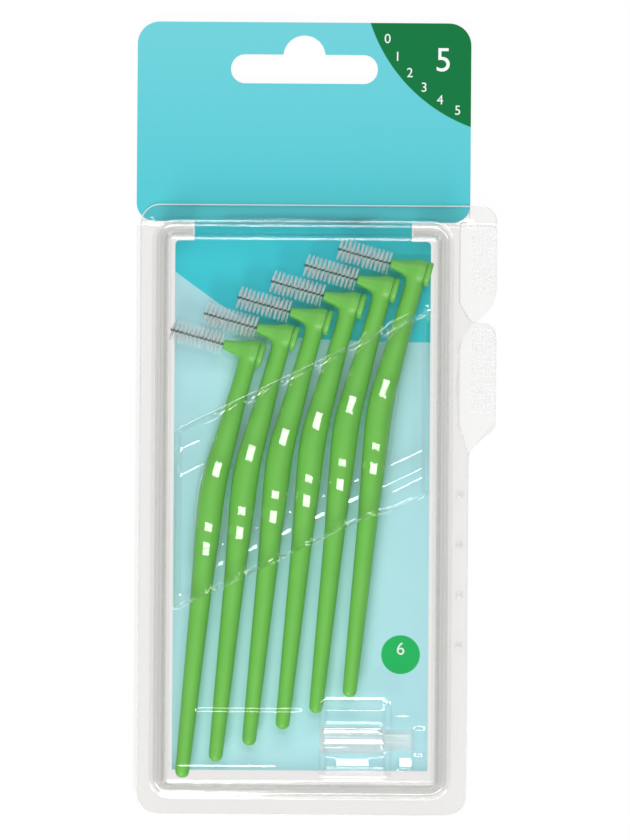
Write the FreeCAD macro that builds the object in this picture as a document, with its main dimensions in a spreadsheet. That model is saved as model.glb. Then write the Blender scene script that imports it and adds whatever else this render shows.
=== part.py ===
import FreeCAD, Part
import math
import os
import re
import Sketcher

# A hinged clear clamshell with a hang card, six angled interdental brushes and a protective cap.
# Millimetres and degrees. The pack lies on its back: +Z up from the back face, +Y towards the hang
# slot, +X towards the finger tabs. The origin is on the back face, at the middle of the pack.

# Driving sizes, each set by itself
SIZES = {
    # The row of brushes
    "brush_count": 6,
    "row_step_x": 7.48,
    "row_step_y": 3.66,
    "row_shift": 0.5,
    "first_head_y": 14.95,
    "neck_tilt": 15.5,
    # Handle, from the head down: the run to each station and the diameter there
    "neck_run": 4.0,
    "neck_diameter": 4.0,
    "throat_run": 6.0,
    "throat_diameter": 4.2,
    "shoulder_run": 10.0,
    "shoulder_diameter": 5.0,
    "grip_run": 12.0,
    "grip_diameter": 5.8,
    "palm_run": 10.0,
    "palm_diameter": 5.55,
    "waist_run": 14.0,
    "waist_diameter": 4.6,
    "shank_run": 19.0,
    "shank_diameter": 3.9,
    "tail_run": 21.0,
    "tail_diameter": 3.1,
    "tail_flat": 0.25,
    "bend_lead": 1.0,
    "bend_angle": 9.5,
    # Head of the handle, measured along the wire from the neck's axis
    "cone_reach": 6.3,
    "cone_tip_diameter": 2.06,
    "cone_waist_reach": 2.8,
    "cone_waist_diameter": 3.5,
    "barrel_diameter": 5.45,
    "barrel_back": 1.75,
    # Plug that closes the head
    "plug_gap": 0.3,
    "plug_disc_diameter": 5.6,
    "plug_disc_thickness": 0.9,
    "plug_stub_diameter": 2.9,
    "plug_stub_length": 3.2,
    "plug_fit": 0.05,
    # Wire and bristles
    "wire_diameter": 0.6,
    "wire_reach": 12.3,
    "wire_grip": 2.2,
    "wire_fit": 0.05,
    "bristle_diameter": 5.5,
    "bristle_root": 1.5,
    "bristle_rows": 11,
    "bristle_start": 0.25,
    "bristle_end": 0.25,
    # Protective cap
    "cap_diameter": 6.6,
    "cap_narrow_diameter": 4.7,
    "cap_wall": 0.4,
    "cap_length": 21.1,
    "cap_wide_length": 14.7,
    "cap_side_gap": 5.2,
    "cap_row_gap": 1.2,
    # Card
    "card_thickness": 0.5,
    "header_height": 44.8,
    "header_gap": 0.1,
    "header_top_rounding": 5.0,
    "header_low_rounding": 4.0,
    "neck_width": 48.8,
    "panel_side_gap": 1.9,
    "panel_top_gap": 1.3,
    "panel_end_gap": 3.2,
    "panel_rounding": 1.0,
    "slot_drop": 10.5,
    "slot_width": 33.0,
    "slot_height": 6.5,
    "slot_flat": 0.05,
    "slot_bump_rise": 2.8,
    "slot_bump_radius": 4.75,
    # Clear shells
    "sheet_wall": 0.4,
    "sheet_gap": 0.05,
    "rest_gap": 0.05,
    "row_clearance": 0.3,
    "row_end_clearance": 1.7,
    "chamber_rounding": 1.6,
    "ridge_width": 1.7,
    "ridge_height": 3.8,
    "ridge_end_gap": 0.3,
    "nest_gap": 0.4,
    "step_draft": 0.4,
    "dome_draft": 0.9,
    "dome_edge_rounding": 0.35,
    "flange_width": 3.95,
    "flange_rounding": 4.5,
    "cover_margin": 0.3,
    # Holding band pressed into the dome
    "band_gap": 0.25,
    "band_depth": 1.9,
    "band_valley": 1.7,
    "band_height": 39.0,
    "band_slope": 25.0,
    "band_inset": 2.4,
    "band_drop": 3.7,
    "band_rounding": 2.0,
    # Recess round the cap, with a bubble over it, and a plain plate beside it
    "recess_width": 15.7,
    "recess_height": 18.2,
    "recess_depth": 2.6,
    "recess_draft": 1.4,
    "recess_rounding": 3.0,
    "recess_aside": 0.65,
    "recess_shift": 0.8,
    "bubble_gap": 0.3,
    "plate_width": 24.9,
    "plate_height": 12.9,
    "plate_depth": 0.5,
    "plate_rounding": 2.0,
    "plate_side_gap": 4.1,
    "plate_end_gap": 4.4,
    # Finger tabs, one on each shell, and the snap studs
    "tab_reach": 6.1,
    "tab_length": 24.6,
    "tab_rounding": 4.0,
    "tab_gap": 0.6,
    "tab_cutback": 2.1,
    "tab_slant": 5.5,
    "stud_count": 4,
    "stud_diameter": 1.0,
    "stud_height": 0.5,
    "stud_fit": 0.1,
    "stud_tab_gap": 9.5,
    "stud_step": 11.3,
    "stud_inset": 1.9,
    # Living hinge
    "hinge_radius": 0.4,
    "hinge_gap": 0.05,
    "hinge_end_gap": 1.0,
}

# Sizes that follow from the driving ones
FITS = {
    # Heights
    "card_top": "sheet_wall + card_thickness",
    "axis_height": "card_top + rest_gap + max(grip_diameter; plug_disc_diameter; barrel_diameter) / 2",
    "ridge_top": "sheet_wall + ridge_height",
    "flange_low": "sheet_wall + sheet_gap",
    "cover_low": "card_top + sheet_gap",
    "cover_top": "cover_low + sheet_wall",
    "step_top": "ridge_top + nest_gap + sheet_wall",
    "band_top": "axis_height + max(grip_diameter; palm_diameter) / 2 + band_gap + sheet_wall",
    "dome_top": "band_top + band_depth",
    "valley_top": "band_top - band_valley",
    "recess_top": "dome_top - recess_depth",
    "plate_top": "dome_top - plate_depth",
    "hinge_height": "sheet_wall + sheet_gap / 2",
    # Distance of each station of the handle below the head
    "neck_drop": "neck_run",
    "throat_drop": "neck_drop + throat_run",
    "shoulder_drop": "throat_drop + shoulder_run",
    "grip_drop": "shoulder_drop + grip_run",
    "palm_drop": "grip_drop + palm_run",
    "waist_drop": "palm_drop + waist_run",
    "shank_drop": "waist_drop + shank_run",
    "tail_drop": "shank_drop + tail_run",
    "bend_drop": "grip_drop - bend_lead",
    # The row of brushes, from the bristle tips of the first to the plug of the last
    "plug_seat": "barrel_back + plug_gap",
    "plug_back": "plug_seat + plug_disc_thickness",
    "row_left": "(cone_reach + wire_reach) * cos(neck_tilt) + bristle_diameter / 2 * sin(neck_tilt)",
    "row_right": "plug_back * cos(neck_tilt) + plug_disc_diameter / 2 * sin(neck_tilt)",
    "row_width": "row_left + (brush_count - 1) * row_step_x + row_right",
    "first_head_x": "row_left - row_width / 2 - row_shift",
    "tail_sway": "(tail_drop - bend_drop) * tan(bend_angle)",
    "first_tail_y": "first_head_y - tail_sway * sin(neck_tilt) - tail_drop * cos(neck_tilt)",
    "last_head_y": "first_head_y + (brush_count - 1) * row_step_y",
    "row_top": "last_head_y + (cone_reach + wire_reach) * sin(neck_tilt) + bristle_diameter / 2",
    # Outlines, each grown from the one inside it
    "chamber_half": "row_width / 2 + row_shift + row_clearance",
    "chamber_top": "row_top + row_clearance",
    "chamber_low": "first_tail_y - row_end_clearance",
    "ridge_half": "chamber_half + ridge_width",
    "ridge_high": "chamber_top + ridge_width",
    "ridge_low": "chamber_low - ridge_width",
    "step_half": "ridge_half + nest_gap + sheet_wall + step_draft",
    "step_high": "ridge_high + nest_gap + sheet_wall + step_draft",
    "step_low": "ridge_low - nest_gap - sheet_wall - step_draft",
    "dome_half": "chamber_half + sheet_wall",
    "dome_high": "chamber_top + sheet_wall",
    "dome_low": "chamber_low - sheet_wall",
    "ridge_rounding": "chamber_rounding + ridge_width",
    "step_rounding": "ridge_rounding + nest_gap + sheet_wall + step_draft",
    "dome_rounding": "chamber_rounding + sheet_wall",
    "shell_half": "step_half + flange_width",
    "shell_high": "step_high + flange_width",
    "shell_low": "step_low - flange_width",
    # Living hinge at the left edge
    "hinge_place": "shell_half - hinge_radius",
    "shell_left": "hinge_place - hinge_radius - hinge_gap",
    # Card
    "header_low": "step_high + header_gap",
    "header_high": "header_low + header_height",
    "neck_half": "neck_width / 2",
    "panel_half": "chamber_half - panel_side_gap",
    "panel_high": "chamber_top - panel_top_gap",
    "panel_low": "chamber_low + panel_end_gap",
    "slot_height_place": "header_high - slot_drop",
    # Finger tabs
    "tab_edge": "shell_half + tab_reach",
    "upper_tab_low": "shell_high - tab_length",
    "lower_tab_high": "upper_tab_low - tab_gap",
    "lower_tab_low": "lower_tab_high - tab_length",
    "cut_edge": "shell_half - tab_cutback",
    "stud_place": "shell_half - stud_inset",
    "stud_high": "lower_tab_low - tab_slant - stud_tab_gap",
    # Holding band
    "band_half": "chamber_half - band_inset",
    "grip_middle_x": "first_head_x + (brush_count - 1) * row_step_x / 2 - grip_drop * sin(neck_tilt)",
    "grip_middle_y": "(first_head_y + last_head_y) / 2 - grip_drop * cos(neck_tilt)",
    "band_centre_y": "grip_middle_y - grip_middle_x * tan(band_slope) - band_drop",
    # Protective cap
    "cap_axis_height": "card_top + rest_gap + cap_diameter / 2",
    "cap_end": "chamber_half - cap_side_gap",
    "cap_place": "first_tail_y + (brush_count - 2) * row_step_y - tail_diameter / 2 - cap_row_gap"
                 " - cap_diameter / 2",
    # Recess round the cap, and the plain plate
    "recess_x": "cap_end - cap_length + cap_wide_length / 2 + recess_aside",
    "recess_y": "cap_place + recess_shift",
    "plate_left": "plate_side_gap - chamber_half",
    "plate_low": "chamber_low + plate_end_gap",
}

# Stations of the handle, from the head down
STATIONS = ("neck", "throat", "shoulder", "grip", "palm", "waist", "shank", "tail")

doc = FreeCAD.newDocument("interdental_brush_pack")
subparts = []


def bound(formula, own_sheet=False):
    """The formula with the sheet's name put before each size's name."""
    def lead(match):
        word = match.group(0)
        if word in SIZES:
            return "sizes." + word
        if word in FITS and not own_sheet:
            return "fits." + word
        return word
    return re.sub(r"[a-z_]+", lead, formula)


def fill_sheet(name, rows):
    """A spreadsheet with a name in column A and its value, under that alias, in column B."""
    sheet = doc.addObject("Spreadsheet::Sheet", name)
    for line, (alias, content) in enumerate(rows.items(), 1):
        sheet.set(f"A{line}", alias)
        sheet.setAlias(f"B{line}", alias)
        sheet.set(f"B{line}", content)
    doc.recompute()
    return sheet


sizes = fill_sheet("sizes", {alias: str(value) for alias, value in SIZES.items()})
fits = fill_sheet("fits", {alias: "=" + bound(formula, own_sheet=True) for alias, formula in FITS.items()})


def number(formula):
    """What a formula comes to now."""
    return float(fits.evalExpression(bound(formula)))


def new_tool(name):
    """A working body that shapes a sub-part."""
    body = doc.addObject("PartDesign::Body", name)
    body.Label = name
    return body


def new_body(name):
    """A body that is one sub-part, under its own label."""
    body = new_tool(name)
    subparts.append(body)
    return body


def place(body, x, y, z, turn="0"):
    """Bind a sub-part's place and its turn about Z."""
    body.Placement = FreeCAD.Placement(FreeCAD.Vector(), FreeCAD.Rotation(FreeCAD.Vector(0, 0, 1), 1))
    for axis, formula in zip("xyz", (x, y, z)):
        body.setExpression(f".Placement.Base.{axis}", bound(formula))
    body.setExpression(".Placement.Rotation.Angle", bound(turn))


def new_sketch(body, name, plane, height):
    """An empty sketch on one of the body's origin planes, raised by a bound height."""
    sketch = body.newObject("Sketcher::SketchObject", name)
    support = next(item for item in body.Origin.OriginFeatures if item.Role == plane)
    sketch.AttachmentSupport = [(support, "")]
    sketch.MapMode = "FlatFace"
    sketch.setExpression(".AttachmentOffset.Base.z", bound(height))
    return sketch


def hold(sketch, kind, *where, formula):
    """Add a constraint whose value is bound to a formula."""
    index = sketch.addConstraint(Sketcher.Constraint(kind, *where, number(formula)))
    sketch.setExpression(f"Constraints[{index}]", bound(formula))


def hold_point(sketch, geometry, end, x, y):
    """Bind a point's distances from the sketch's origin."""
    hold(sketch, "DistanceX", -1, 1, geometry, end, formula=x)
    hold(sketch, "DistanceY", -1, 1, geometry, end, formula=y)


def draw_outline(sketch, corners):
    """A closed outline through corners (x, y) or, where the corner is rounded, (x, y, radius).

    The corners run anticlockwise. A rounded corner is held by a construction point at its tip.
    """
    count = len(corners)
    tips = [FreeCAD.Vector(number(corner[0]), number(corner[1]), 0) for corner in corners]
    ends = []
    for index, corner in enumerate(corners):
        tip = tips[index]
        back = (tips[index - 1] - tip).normalize()
        ahead = (tips[(index + 1) % count] - tip).normalize()
        reach = 0.0
        if len(corner) == 3:
            reach = number(corner[2]) / math.tan(back.getAngle(ahead) / 2)
        ends.append((tip + back * reach, tip + ahead * reach, back, ahead))
    lines = []
    for index in range(count):
        start, finish = ends[index][1], ends[(index + 1) % count][0]
        lines.append(sketch.addGeometry(Part.LineSegment(start, finish)))
    for index, corner in enumerate(corners):
        before, after = lines[index - 1], lines[index]
        if len(corner) == 2:
            sketch.addConstraint(Sketcher.Constraint("Coincident", before, 2, after, 1))
            hold_point(sketch, after, 1, corner[0], corner[1])
            continue
        entry, leave, back, ahead = ends[index]
        radius = number(corner[2])
        middle = (back + ahead).normalize()
        centre = tips[index] + middle * (radius / math.sin(back.getAngle(ahead) / 2))
        arc = sketch.addGeometry(Part.Arc(entry, centre - middle * radius, leave))
        turns_left = back.cross(ahead).z < 0
        entry_end, leave_end = (1, 2) if turns_left else (2, 1)
        sketch.addConstraint(Sketcher.Constraint("Tangent", before, 2, arc, entry_end))
        sketch.addConstraint(Sketcher.Constraint("Tangent", arc, leave_end, after, 1))
        hold(sketch, "Radius", arc, formula=corner[2])
        tip = sketch.addGeometry(Part.Point(tips[index]), True)
        hold_point(sketch, tip, 1, corner[0], corner[1])
        sketch.addConstraint(Sketcher.Constraint("PointOnObject", tip, 1, before))
        sketch.addConstraint(Sketcher.Constraint("PointOnObject", tip, 1, after))


def draw_circle(sketch, x, y, diameter):
    """A circle with its centre and diameter bound."""
    centre = FreeCAD.Vector(number(x), number(y), 0)
    circle = sketch.addGeometry(Part.Circle(centre, FreeCAD.Vector(0, 0, 1), number(diameter) / 2))
    hold_point(sketch, circle, 3, x, y)
    hold(sketch, "Diameter", circle, formula=diameter)


def outline(body, name, corners, plane="XY_Plane", height="0"):
    """A sketch with one outline."""
    sketch = new_sketch(body, name, plane, height)
    draw_outline(sketch, corners)
    return sketch


def framed(half, low, high, radius):
    """The corners of a rounded rectangle that is even about the Y axis."""
    return [("-" + half, low, radius), (half, low, radius), (half, high, radius), ("-" + half, high, radius)]


def settle(body, feature, grows):
    """Recompute, and make sure that the feature changed the body the right way."""
    base = feature.BaseFeature
    doc.recompute()
    change = feature.Shape.Volume - (base.Shape.Volume if base else 0)
    if not feature.isValid() or (change > 0) != grows:
        raise RuntimeError(f"{body.Label}: {feature.Name} changed the volume by {change:.4f}")
    return feature


def pad(body, sketch, length, draft=None, upwards=True):
    """Extend a sketch by a length, up or down, drawn in towards its far end by a draft."""
    feature = body.newObject("PartDesign::Pad", sketch.Name + "_pad")
    feature.Profile = sketch
    feature.Reversed = not upwards
    feature.setExpression("Length", bound(length))
    if draft:
        feature.setExpression("TaperAngle", bound(f"-atan(({draft}) / ({length}))"))
    return settle(body, feature, True)


def pocket(body, sketch, length, upwards=True, draft=None):
    """Cut a sketch into the body, up or down, drawn in by a draft."""
    feature = body.newObject("PartDesign::Pocket", sketch.Name + "_pocket")
    feature.Profile = sketch
    feature.Reversed = upwards
    feature.setExpression("Length", bound(length))
    if draft:
        feature.setExpression("TaperAngle", bound(f"-atan(({draft}) / ({length}))"))
    return settle(body, feature, False)


def combine(body, name, kind, tools):
    """Fuse working bodies to a body, or cut them from it."""
    feature = body.newObject("PartDesign::Boolean", name)
    feature.Type = kind
    feature.setObjects(tools)
    settle(body, feature, kind == "Fuse")


def turned(body, kind, sketch, grows):
    """Spin a sketch about the body's X axis, as a Revolution or a Groove."""
    feature = body.newObject("PartDesign::" + kind, sketch.Name + "_" + kind.lower())
    feature.Profile = sketch
    feature.ReferenceAxis = (sketch, ["H_Axis"])
    feature.Angle = 360
    return settle(body, feature, grows)


def make_card():
    """The die-cut card: header, neck and inner panel, with the hang slot."""
    body = new_body("printed_card")
    half = [
        ("panel_half", "panel_low"),
        ("panel_half", "panel_high", "panel_rounding"),
        ("neck_half", "panel_high"),
        ("neck_half", "header_low"),
        ("shell_half", "header_low", "header_low_rounding"),
        ("shell_half", "header_high", "header_top_rounding"),
    ]
    mirrored = [("-" + corner[0],) + corner[1:] for corner in reversed(half)]
    pad(body, outline(body, "card_outline", half + mirrored, height="sheet_wall"), "card_thickness")
    slot = framed("slot_width / 2", "slot_height_place - slot_height / 2",
                  "slot_height_place + slot_height / 2", "slot_height / 2 - slot_flat")
    pocket(body, outline(body, "hang_slot", slot, height="sheet_wall"), "card_thickness")
    bump = new_sketch(body, "hang_slot_bump", "XY_Plane", "sheet_wall")
    draw_circle(bump, "0", "slot_height_place + slot_bump_rise", "slot_bump_radius * 2")
    pocket(body, bump, "card_thickness")


def draw_studs(body, name, height, diameter):
    """A sketch of the row of snap studs along the right flange."""
    sketch = new_sketch(body, name, "XY_Plane", height)
    for index in range(SIZES["stud_count"]):
        draw_circle(sketch, "stud_place", f"stud_high - {index} * stud_step", diameter)
    return sketch


def make_rear_shell():
    """The back sheet with its finger tab, its hollow nesting ridge and the snap studs."""
    body = new_body("rear_shell")
    sheet = [
        ("-shell_left", "shell_low", "flange_rounding"),
        ("shell_half", "shell_low", "flange_rounding"),
        ("shell_half", "lower_tab_low - tab_slant"),
        ("tab_edge", "lower_tab_low"),
        ("tab_edge", "lower_tab_high", "tab_rounding"),
        ("cut_edge", "lower_tab_high"),
        ("cut_edge", "header_low"),
        ("shell_half", "header_low"),
        ("shell_half", "shell_high"),
        ("-shell_left", "shell_high", "flange_rounding"),
    ]
    pad(body, outline(body, "rear_sheet", sheet), "sheet_wall")

    def channel(name, inset, height):
        """The U of the nesting ridge, with its two stubs at the top, drawn in by an inset."""
        outer, inner = f"ridge_half - {inset}", f"chamber_half + {inset}"
        stub = f"neck_half + ridge_end_gap + {inset}"
        outer_radius, inner_radius = f"ridge_rounding - {inset}", f"chamber_rounding + {inset}"
        right = [
            (outer, f"ridge_low + {inset}", outer_radius),
            (outer, f"ridge_high - {inset}", outer_radius),
            (stub, f"ridge_high - {inset}"),
            (stub, f"chamber_top + {inset}"),
            (inner, f"chamber_top + {inset}", inner_radius),
            (inner, f"chamber_low - {inset}", inner_radius),
        ]
        left = [(f"-({corner[0]})",) + corner[1:] for corner in reversed(right)]
        return outline(body, name, right + left, height=height)

    pad(body, channel("nesting_ridge", "0", "sheet_wall"), "ridge_height")
    pocket(body, channel("ridge_hollow", "sheet_wall", "0"), "ridge_height")
    pad(body, draw_studs(body, "snap_studs", "sheet_wall", "stud_diameter"), "stud_height")


def make_front_shell():
    """The two-step dome with its flange, finger tab, card cover, holding band and snap dimples."""
    body = new_body("front_shell")
    flange = [
        ("-shell_left", "shell_low", "flange_rounding"),
        ("shell_half", "shell_low", "flange_rounding"),
        ("shell_half", "lower_tab_low - tab_slant"),
        ("cut_edge", "lower_tab_low"),
        ("cut_edge", "upper_tab_low"),
        ("tab_edge", "upper_tab_low", "tab_rounding"),
        ("tab_edge", "shell_high", "tab_rounding"),
        ("-shell_left", "shell_high", "flange_rounding"),
    ]
    pad(body, outline(body, "flange", flange, height="flange_low"), "sheet_wall")
    cover = [
        ("-shell_left", "header_low - cover_margin - sheet_wall"),
        ("tab_edge", "header_low - cover_margin - sheet_wall"),
        ("tab_edge", "shell_high", "tab_rounding"),
        ("-shell_left", "shell_high", "flange_rounding"),
    ]
    pad(body, outline(body, "card_cover", cover, height="flange_low"), "cover_top - flange_low")
    step = framed("step_half", "step_low", "step_high", "step_rounding")
    pad(body, outline(body, "lower_step", step, height="flange_low"), "step_top - flange_low", "step_draft")
    dome = framed("dome_half", "dome_low", "dome_high", "dome_rounding")
    raised = pad(body, outline(body, "upper_step", dome, height="step_top"), "dome_top - step_top", "dome_draft")
    round_top_edge(body, raised)
    hollow_front_shell(body)
    press_band(body)
    press_recess(body)
    press_plate(body)
    dimple_height = "stud_height + stud_fit"
    dimples = draw_studs(body, "snap_dimples", "flange_low", "stud_diameter + 2 * stud_fit + 2 * sheet_wall")
    pad(body, dimples, f"{dimple_height} + sheet_wall")
    hollows = draw_studs(body, "dimple_hollows", "flange_low", "stud_diameter + 2 * stud_fit")
    pocket(body, hollows, dimple_height)


def round_top_edge(body, raised):
    """Round the edge between the dome's top face and its wall."""
    top = number("dome_top")
    edges = [f"Edge{index}" for index, edge in enumerate(raised.Shape.Edges, 1)
             if edge.BoundBox.ZMin > top - 1e-4]
    feature = body.newObject("PartDesign::Fillet", "dome_edge")
    feature.Base = (raised, edges)
    feature.setExpression("Radius", bound("dome_edge_rounding"))
    settle(body, feature, False)


def hollow_front_shell(body):
    """Cut the inside of the two steps and the room for the card under the cover."""
    inner_step = framed("(step_half - sheet_wall)", "step_low + sheet_wall", "step_high - sheet_wall",
                        "step_rounding - sheet_wall")
    pocket(body, outline(body, "step_hollow", inner_step, height="flange_low"),
           "step_top - sheet_wall - flange_low", draft="step_draft")
    inner_dome = framed("(dome_half - sheet_wall)", "dome_low + sheet_wall", "dome_high - sheet_wall",
                        "dome_rounding - sheet_wall")
    pocket(body, outline(body, "dome_hollow", inner_dome, height="step_top - sheet_wall"),
           "dome_top - step_top", draft="dome_draft")
    header = [
        ("-shell_half", "header_low - cover_margin"),
        ("tab_edge + cover_margin", "header_low - cover_margin"),
        ("tab_edge + cover_margin", "shell_high + cover_margin"),
        ("-shell_half", "shell_high + cover_margin"),
    ]
    pocket(body, outline(body, "header_room", header, height="flange_low"), "cover_low - flange_low")
    neck = [
        ("-neck_half - cover_margin", "chamber_top"),
        ("neck_half + cover_margin", "chamber_top"),
        ("neck_half + cover_margin", "header_low"),
        ("-neck_half - cover_margin", "header_low"),
    ]
    pocket(body, outline(body, "neck_room", neck, height="flange_low"), "cover_low - flange_low")


def press_band(body):
    """Press the slanted holding band into the dome's top, over the handles and down between them."""
    def block(name, grow, low, height, handle_gap):
        half = f"(band_half + {grow})"
        rise = f"{half} * tan(band_slope)"
        reach = f"(band_height / 2 + {grow})"
        corners = [
            ("-" + half, f"band_centre_y - {rise} - {reach}", f"band_rounding + {grow}"),
            (half, f"band_centre_y + {rise} - {reach}", f"band_rounding + {grow}"),
            (half, f"band_centre_y + {rise} + {reach}", f"band_rounding + {grow}"),
            ("-" + half, f"band_centre_y - {rise} + {reach}", f"band_rounding + {grow}"),
        ]
        tool = new_tool(name)
        pad(tool, outline(tool, name + "_outline", corners, height=low), height)
        saddles = []
        for index in range(SIZES["brush_count"]):
            saddle = new_tool(f"{name}_saddle_{index + 1}")
            shank_loft(saddle, saddle.Name, STATIONS[:-1], handle_gap)
            place_brush_piece(saddle, index)
            saddles.append(saddle)
        combine(tool, name + "_saddles", "Cut", saddles)
        return tool

    film = block("band_film", "sheet_wall", "valley_top - sheet_wall", "dome_top - valley_top", "band_gap")
    press = block("band_press", "0", "valley_top", "dome_top - valley_top + sheet_wall", "band_gap + sheet_wall")
    combine(body, "band_joined", "Fuse", [film])
    combine(body, "band_pressed", "Cut", [press])


def press_recess(body):
    """Press the recess round the cap into the dome's top, and leave a round bubble over the cap."""
    def block(name, grow, high, cap_gap):
        across, along = f"(recess_width / 2 + {grow})", f"(recess_height / 2 + {grow})"
        corners = [
            (f"recess_x - {across}", f"recess_y - {along}", "recess_rounding"),
            (f"recess_x + {across}", f"recess_y - {along}", "recess_rounding"),
            (f"recess_x + {across}", f"recess_y + {along}", "recess_rounding"),
            (f"recess_x - {across}", f"recess_y + {along}", "recess_rounding"),
        ]
        tool = new_tool(name)
        pad(tool, outline(tool, name + "_outline", corners, height=high), "recess_depth", "recess_draft",
            upwards=False)
        bubble = new_sketch(tool, name + "_bubble", "YZ_Plane", f"recess_x - {across}")
        draw_circle(bubble, "cap_place", "cap_axis_height", f"cap_diameter + 2 * ({cap_gap})")
        pocket(tool, bubble, f"2 * {across}")
        return tool

    film = block("recess_film", "sheet_wall", "dome_top - sheet_wall", "bubble_gap")
    press = block("recess_press", "0", "dome_top", "bubble_gap + sheet_wall")
    combine(body, "recess_joined", "Fuse", [film])
    combine(body, "recess_pressed", "Cut", [press])


def press_plate(body):
    """Press the shallow plain plate into the dome's top."""
    def plate(name, grow, height):
        left, right = f"plate_left - {grow}", f"plate_left + plate_width + {grow}"
        low, high = f"plate_low - {grow}", f"plate_low + plate_height + {grow}"
        radius = f"plate_rounding + {grow}"
        corners = [(left, low, radius), (right, low, radius), (right, high, radius), (left, high, radius)]
        return outline(body, name, corners, height=height)

    pad(body, plate("plate_wall", "sheet_wall", "plate_top - sheet_wall"), "plate_depth")
    pocket(body, plate("plate_recess", "0", "plate_top"), "plate_depth + sheet_wall")


def make_hinge():
    """The folded bead along the left edge, on the hinge's axis."""
    bead = doc.addObject("Part::Cylinder", "living_hinge")
    bead.Label = "living_hinge"
    bead.Placement = FreeCAD.Placement(FreeCAD.Vector(), FreeCAD.Rotation(FreeCAD.Vector(1, 0, 0), -90))
    bead.setExpression("Radius", bound("hinge_radius"))
    bead.setExpression("Height", bound("header_low - shell_low - flange_rounding - 2 * hinge_end_gap"))
    bead.setExpression(".Placement.Base.x", bound("-hinge_place"))
    bead.setExpression(".Placement.Base.y", bound("shell_low + flange_rounding + hinge_end_gap"))
    bead.setExpression(".Placement.Base.z", bound("hinge_height"))
    subparts.append(bead)


def make_cap():
    """The clear cap: a wide tube that steps down to a narrow closed end."""
    body = new_body("protective_cap")
    profile = [
        ("cap_length - cap_wall", "0"),
        ("cap_length", "0"),
        ("cap_length", "cap_narrow_diameter / 2"),
        ("cap_wide_length", "cap_narrow_diameter / 2"),
        ("cap_wide_length", "cap_diameter / 2"),
        ("0", "cap_diameter / 2"),
        ("0", "cap_diameter / 2 - cap_wall"),
        ("cap_wide_length - cap_wall", "cap_diameter / 2 - cap_wall"),
        ("cap_wide_length - cap_wall", "cap_narrow_diameter / 2 - cap_wall"),
        ("cap_length - cap_wall", "cap_narrow_diameter / 2 - cap_wall"),
    ]
    turned(body, "Revolution", outline(body, "cap_profile", profile), True)
    place(body, "cap_end - cap_length", "cap_place", "cap_axis_height")


def sway(drop):
    """How far the handle has bent aside at a distance below the head."""
    return f"max(0; {drop} - bend_drop) * tan(bend_angle)"


def shank_loft(body, name, stations, grow, root=None):
    """A loft from a root sketch through stations of the handle, thicker all round by a margin."""
    sections = [root] if root else []
    for station in stations:
        drop = station + "_drop"
        sketch = new_sketch(body, f"{name}_{station}", "XZ_Plane", drop)
        draw_circle(sketch, sway(drop), "0", f"{station}_diameter + 2 * ({grow})")
        sections.append(sketch)
    loft = body.newObject("PartDesign::AdditiveLoft", f"{name}_loft")
    loft.Profile = sections[0]
    loft.Sections = sections[1:]
    return settle(body, loft, True)


def make_handle(name):
    """A bent, tapered handle with its cone-shaped head, bored for the wire and the plug."""
    body = new_body(name)
    root = new_sketch(body, f"{name}_root", "XZ_Plane", "0")
    draw_circle(root, "0", "0", "neck_diameter")
    loft = shank_loft(body, name, STATIONS, "0", root)
    fillet_tail(body, name, loft)
    head = [
        ("-cone_reach", "0"),
        ("barrel_back", "0"),
        ("barrel_back", "barrel_diameter / 2"),
        ("0", "barrel_diameter / 2"),
        ("-cone_waist_reach", "cone_waist_diameter / 2"),
        ("-cone_reach", "cone_tip_diameter / 2"),
    ]
    turned(body, "Revolution", outline(body, f"{name}_head", head), True)
    relief_start, relief_radius = "plug_seat - plug_gap / 2", "plug_disc_diameter / 2 + plug_gap / 2"
    bore = [
        ("-cone_reach", "0"),
        ("plug_back", "0"),
        ("plug_back", relief_radius),
        (relief_start, relief_radius),
        (relief_start, "plug_stub_diameter / 2 + plug_fit"),
        ("plug_seat - plug_stub_length - plug_fit", "plug_stub_diameter / 2 + plug_fit"),
        ("plug_seat - plug_stub_length - plug_fit", "wire_diameter / 2 + wire_fit"),
        ("-cone_reach", "wire_diameter / 2 + wire_fit"),
    ]
    turned(body, "Groove", outline(body, f"{name}_bore", bore), False)
    return body


def fillet_tail(body, name, loft):
    """Round the handle's tail end."""
    low = -number("tail_drop")
    edges = [f"Edge{index}" for index, edge in enumerate(loft.Shape.Edges, 1)
             if edge.BoundBox.YMax < low + 1e-3]
    feature = body.newObject("PartDesign::Fillet", f"{name}_tail_end")
    feature.Base = (loft, edges)
    feature.setExpression("Radius", bound("tail_diameter / 2 - tail_flat"))
    settle(body, feature, False)


def make_plug(name):
    """The disc and stub that close the head and hold the wire's end."""
    body = new_body(name)
    stub_end = "plug_seat - plug_stub_length"
    profile = [
        (stub_end, "wire_diameter / 2 + wire_fit"),
        (f"{stub_end} + wire_grip", "wire_diameter / 2 + wire_fit"),
        (f"{stub_end} + wire_grip", "0"),
        ("plug_back", "0"),
        ("plug_back", "plug_disc_diameter / 2"),
        ("plug_seat", "plug_disc_diameter / 2"),
        ("plug_seat", "plug_stub_diameter / 2"),
        (stub_end, "plug_stub_diameter / 2"),
    ]
    turned(body, "Revolution", outline(body, f"{name}_profile", profile), True)
    return body


def make_wire(name):
    """The wire core, from its tip to its end in the plug."""
    body = new_body(name)
    tip, end = "-cone_reach - wire_reach", "plug_seat - plug_stub_length + wire_grip - wire_fit"
    profile = [
        (tip, "0"),
        (end, "0"),
        (end, "wire_diameter / 2"),
        (tip, "wire_diameter / 2"),
    ]
    turned(body, "Revolution", outline(body, f"{name}_profile", profile), True)
    return body


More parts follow.
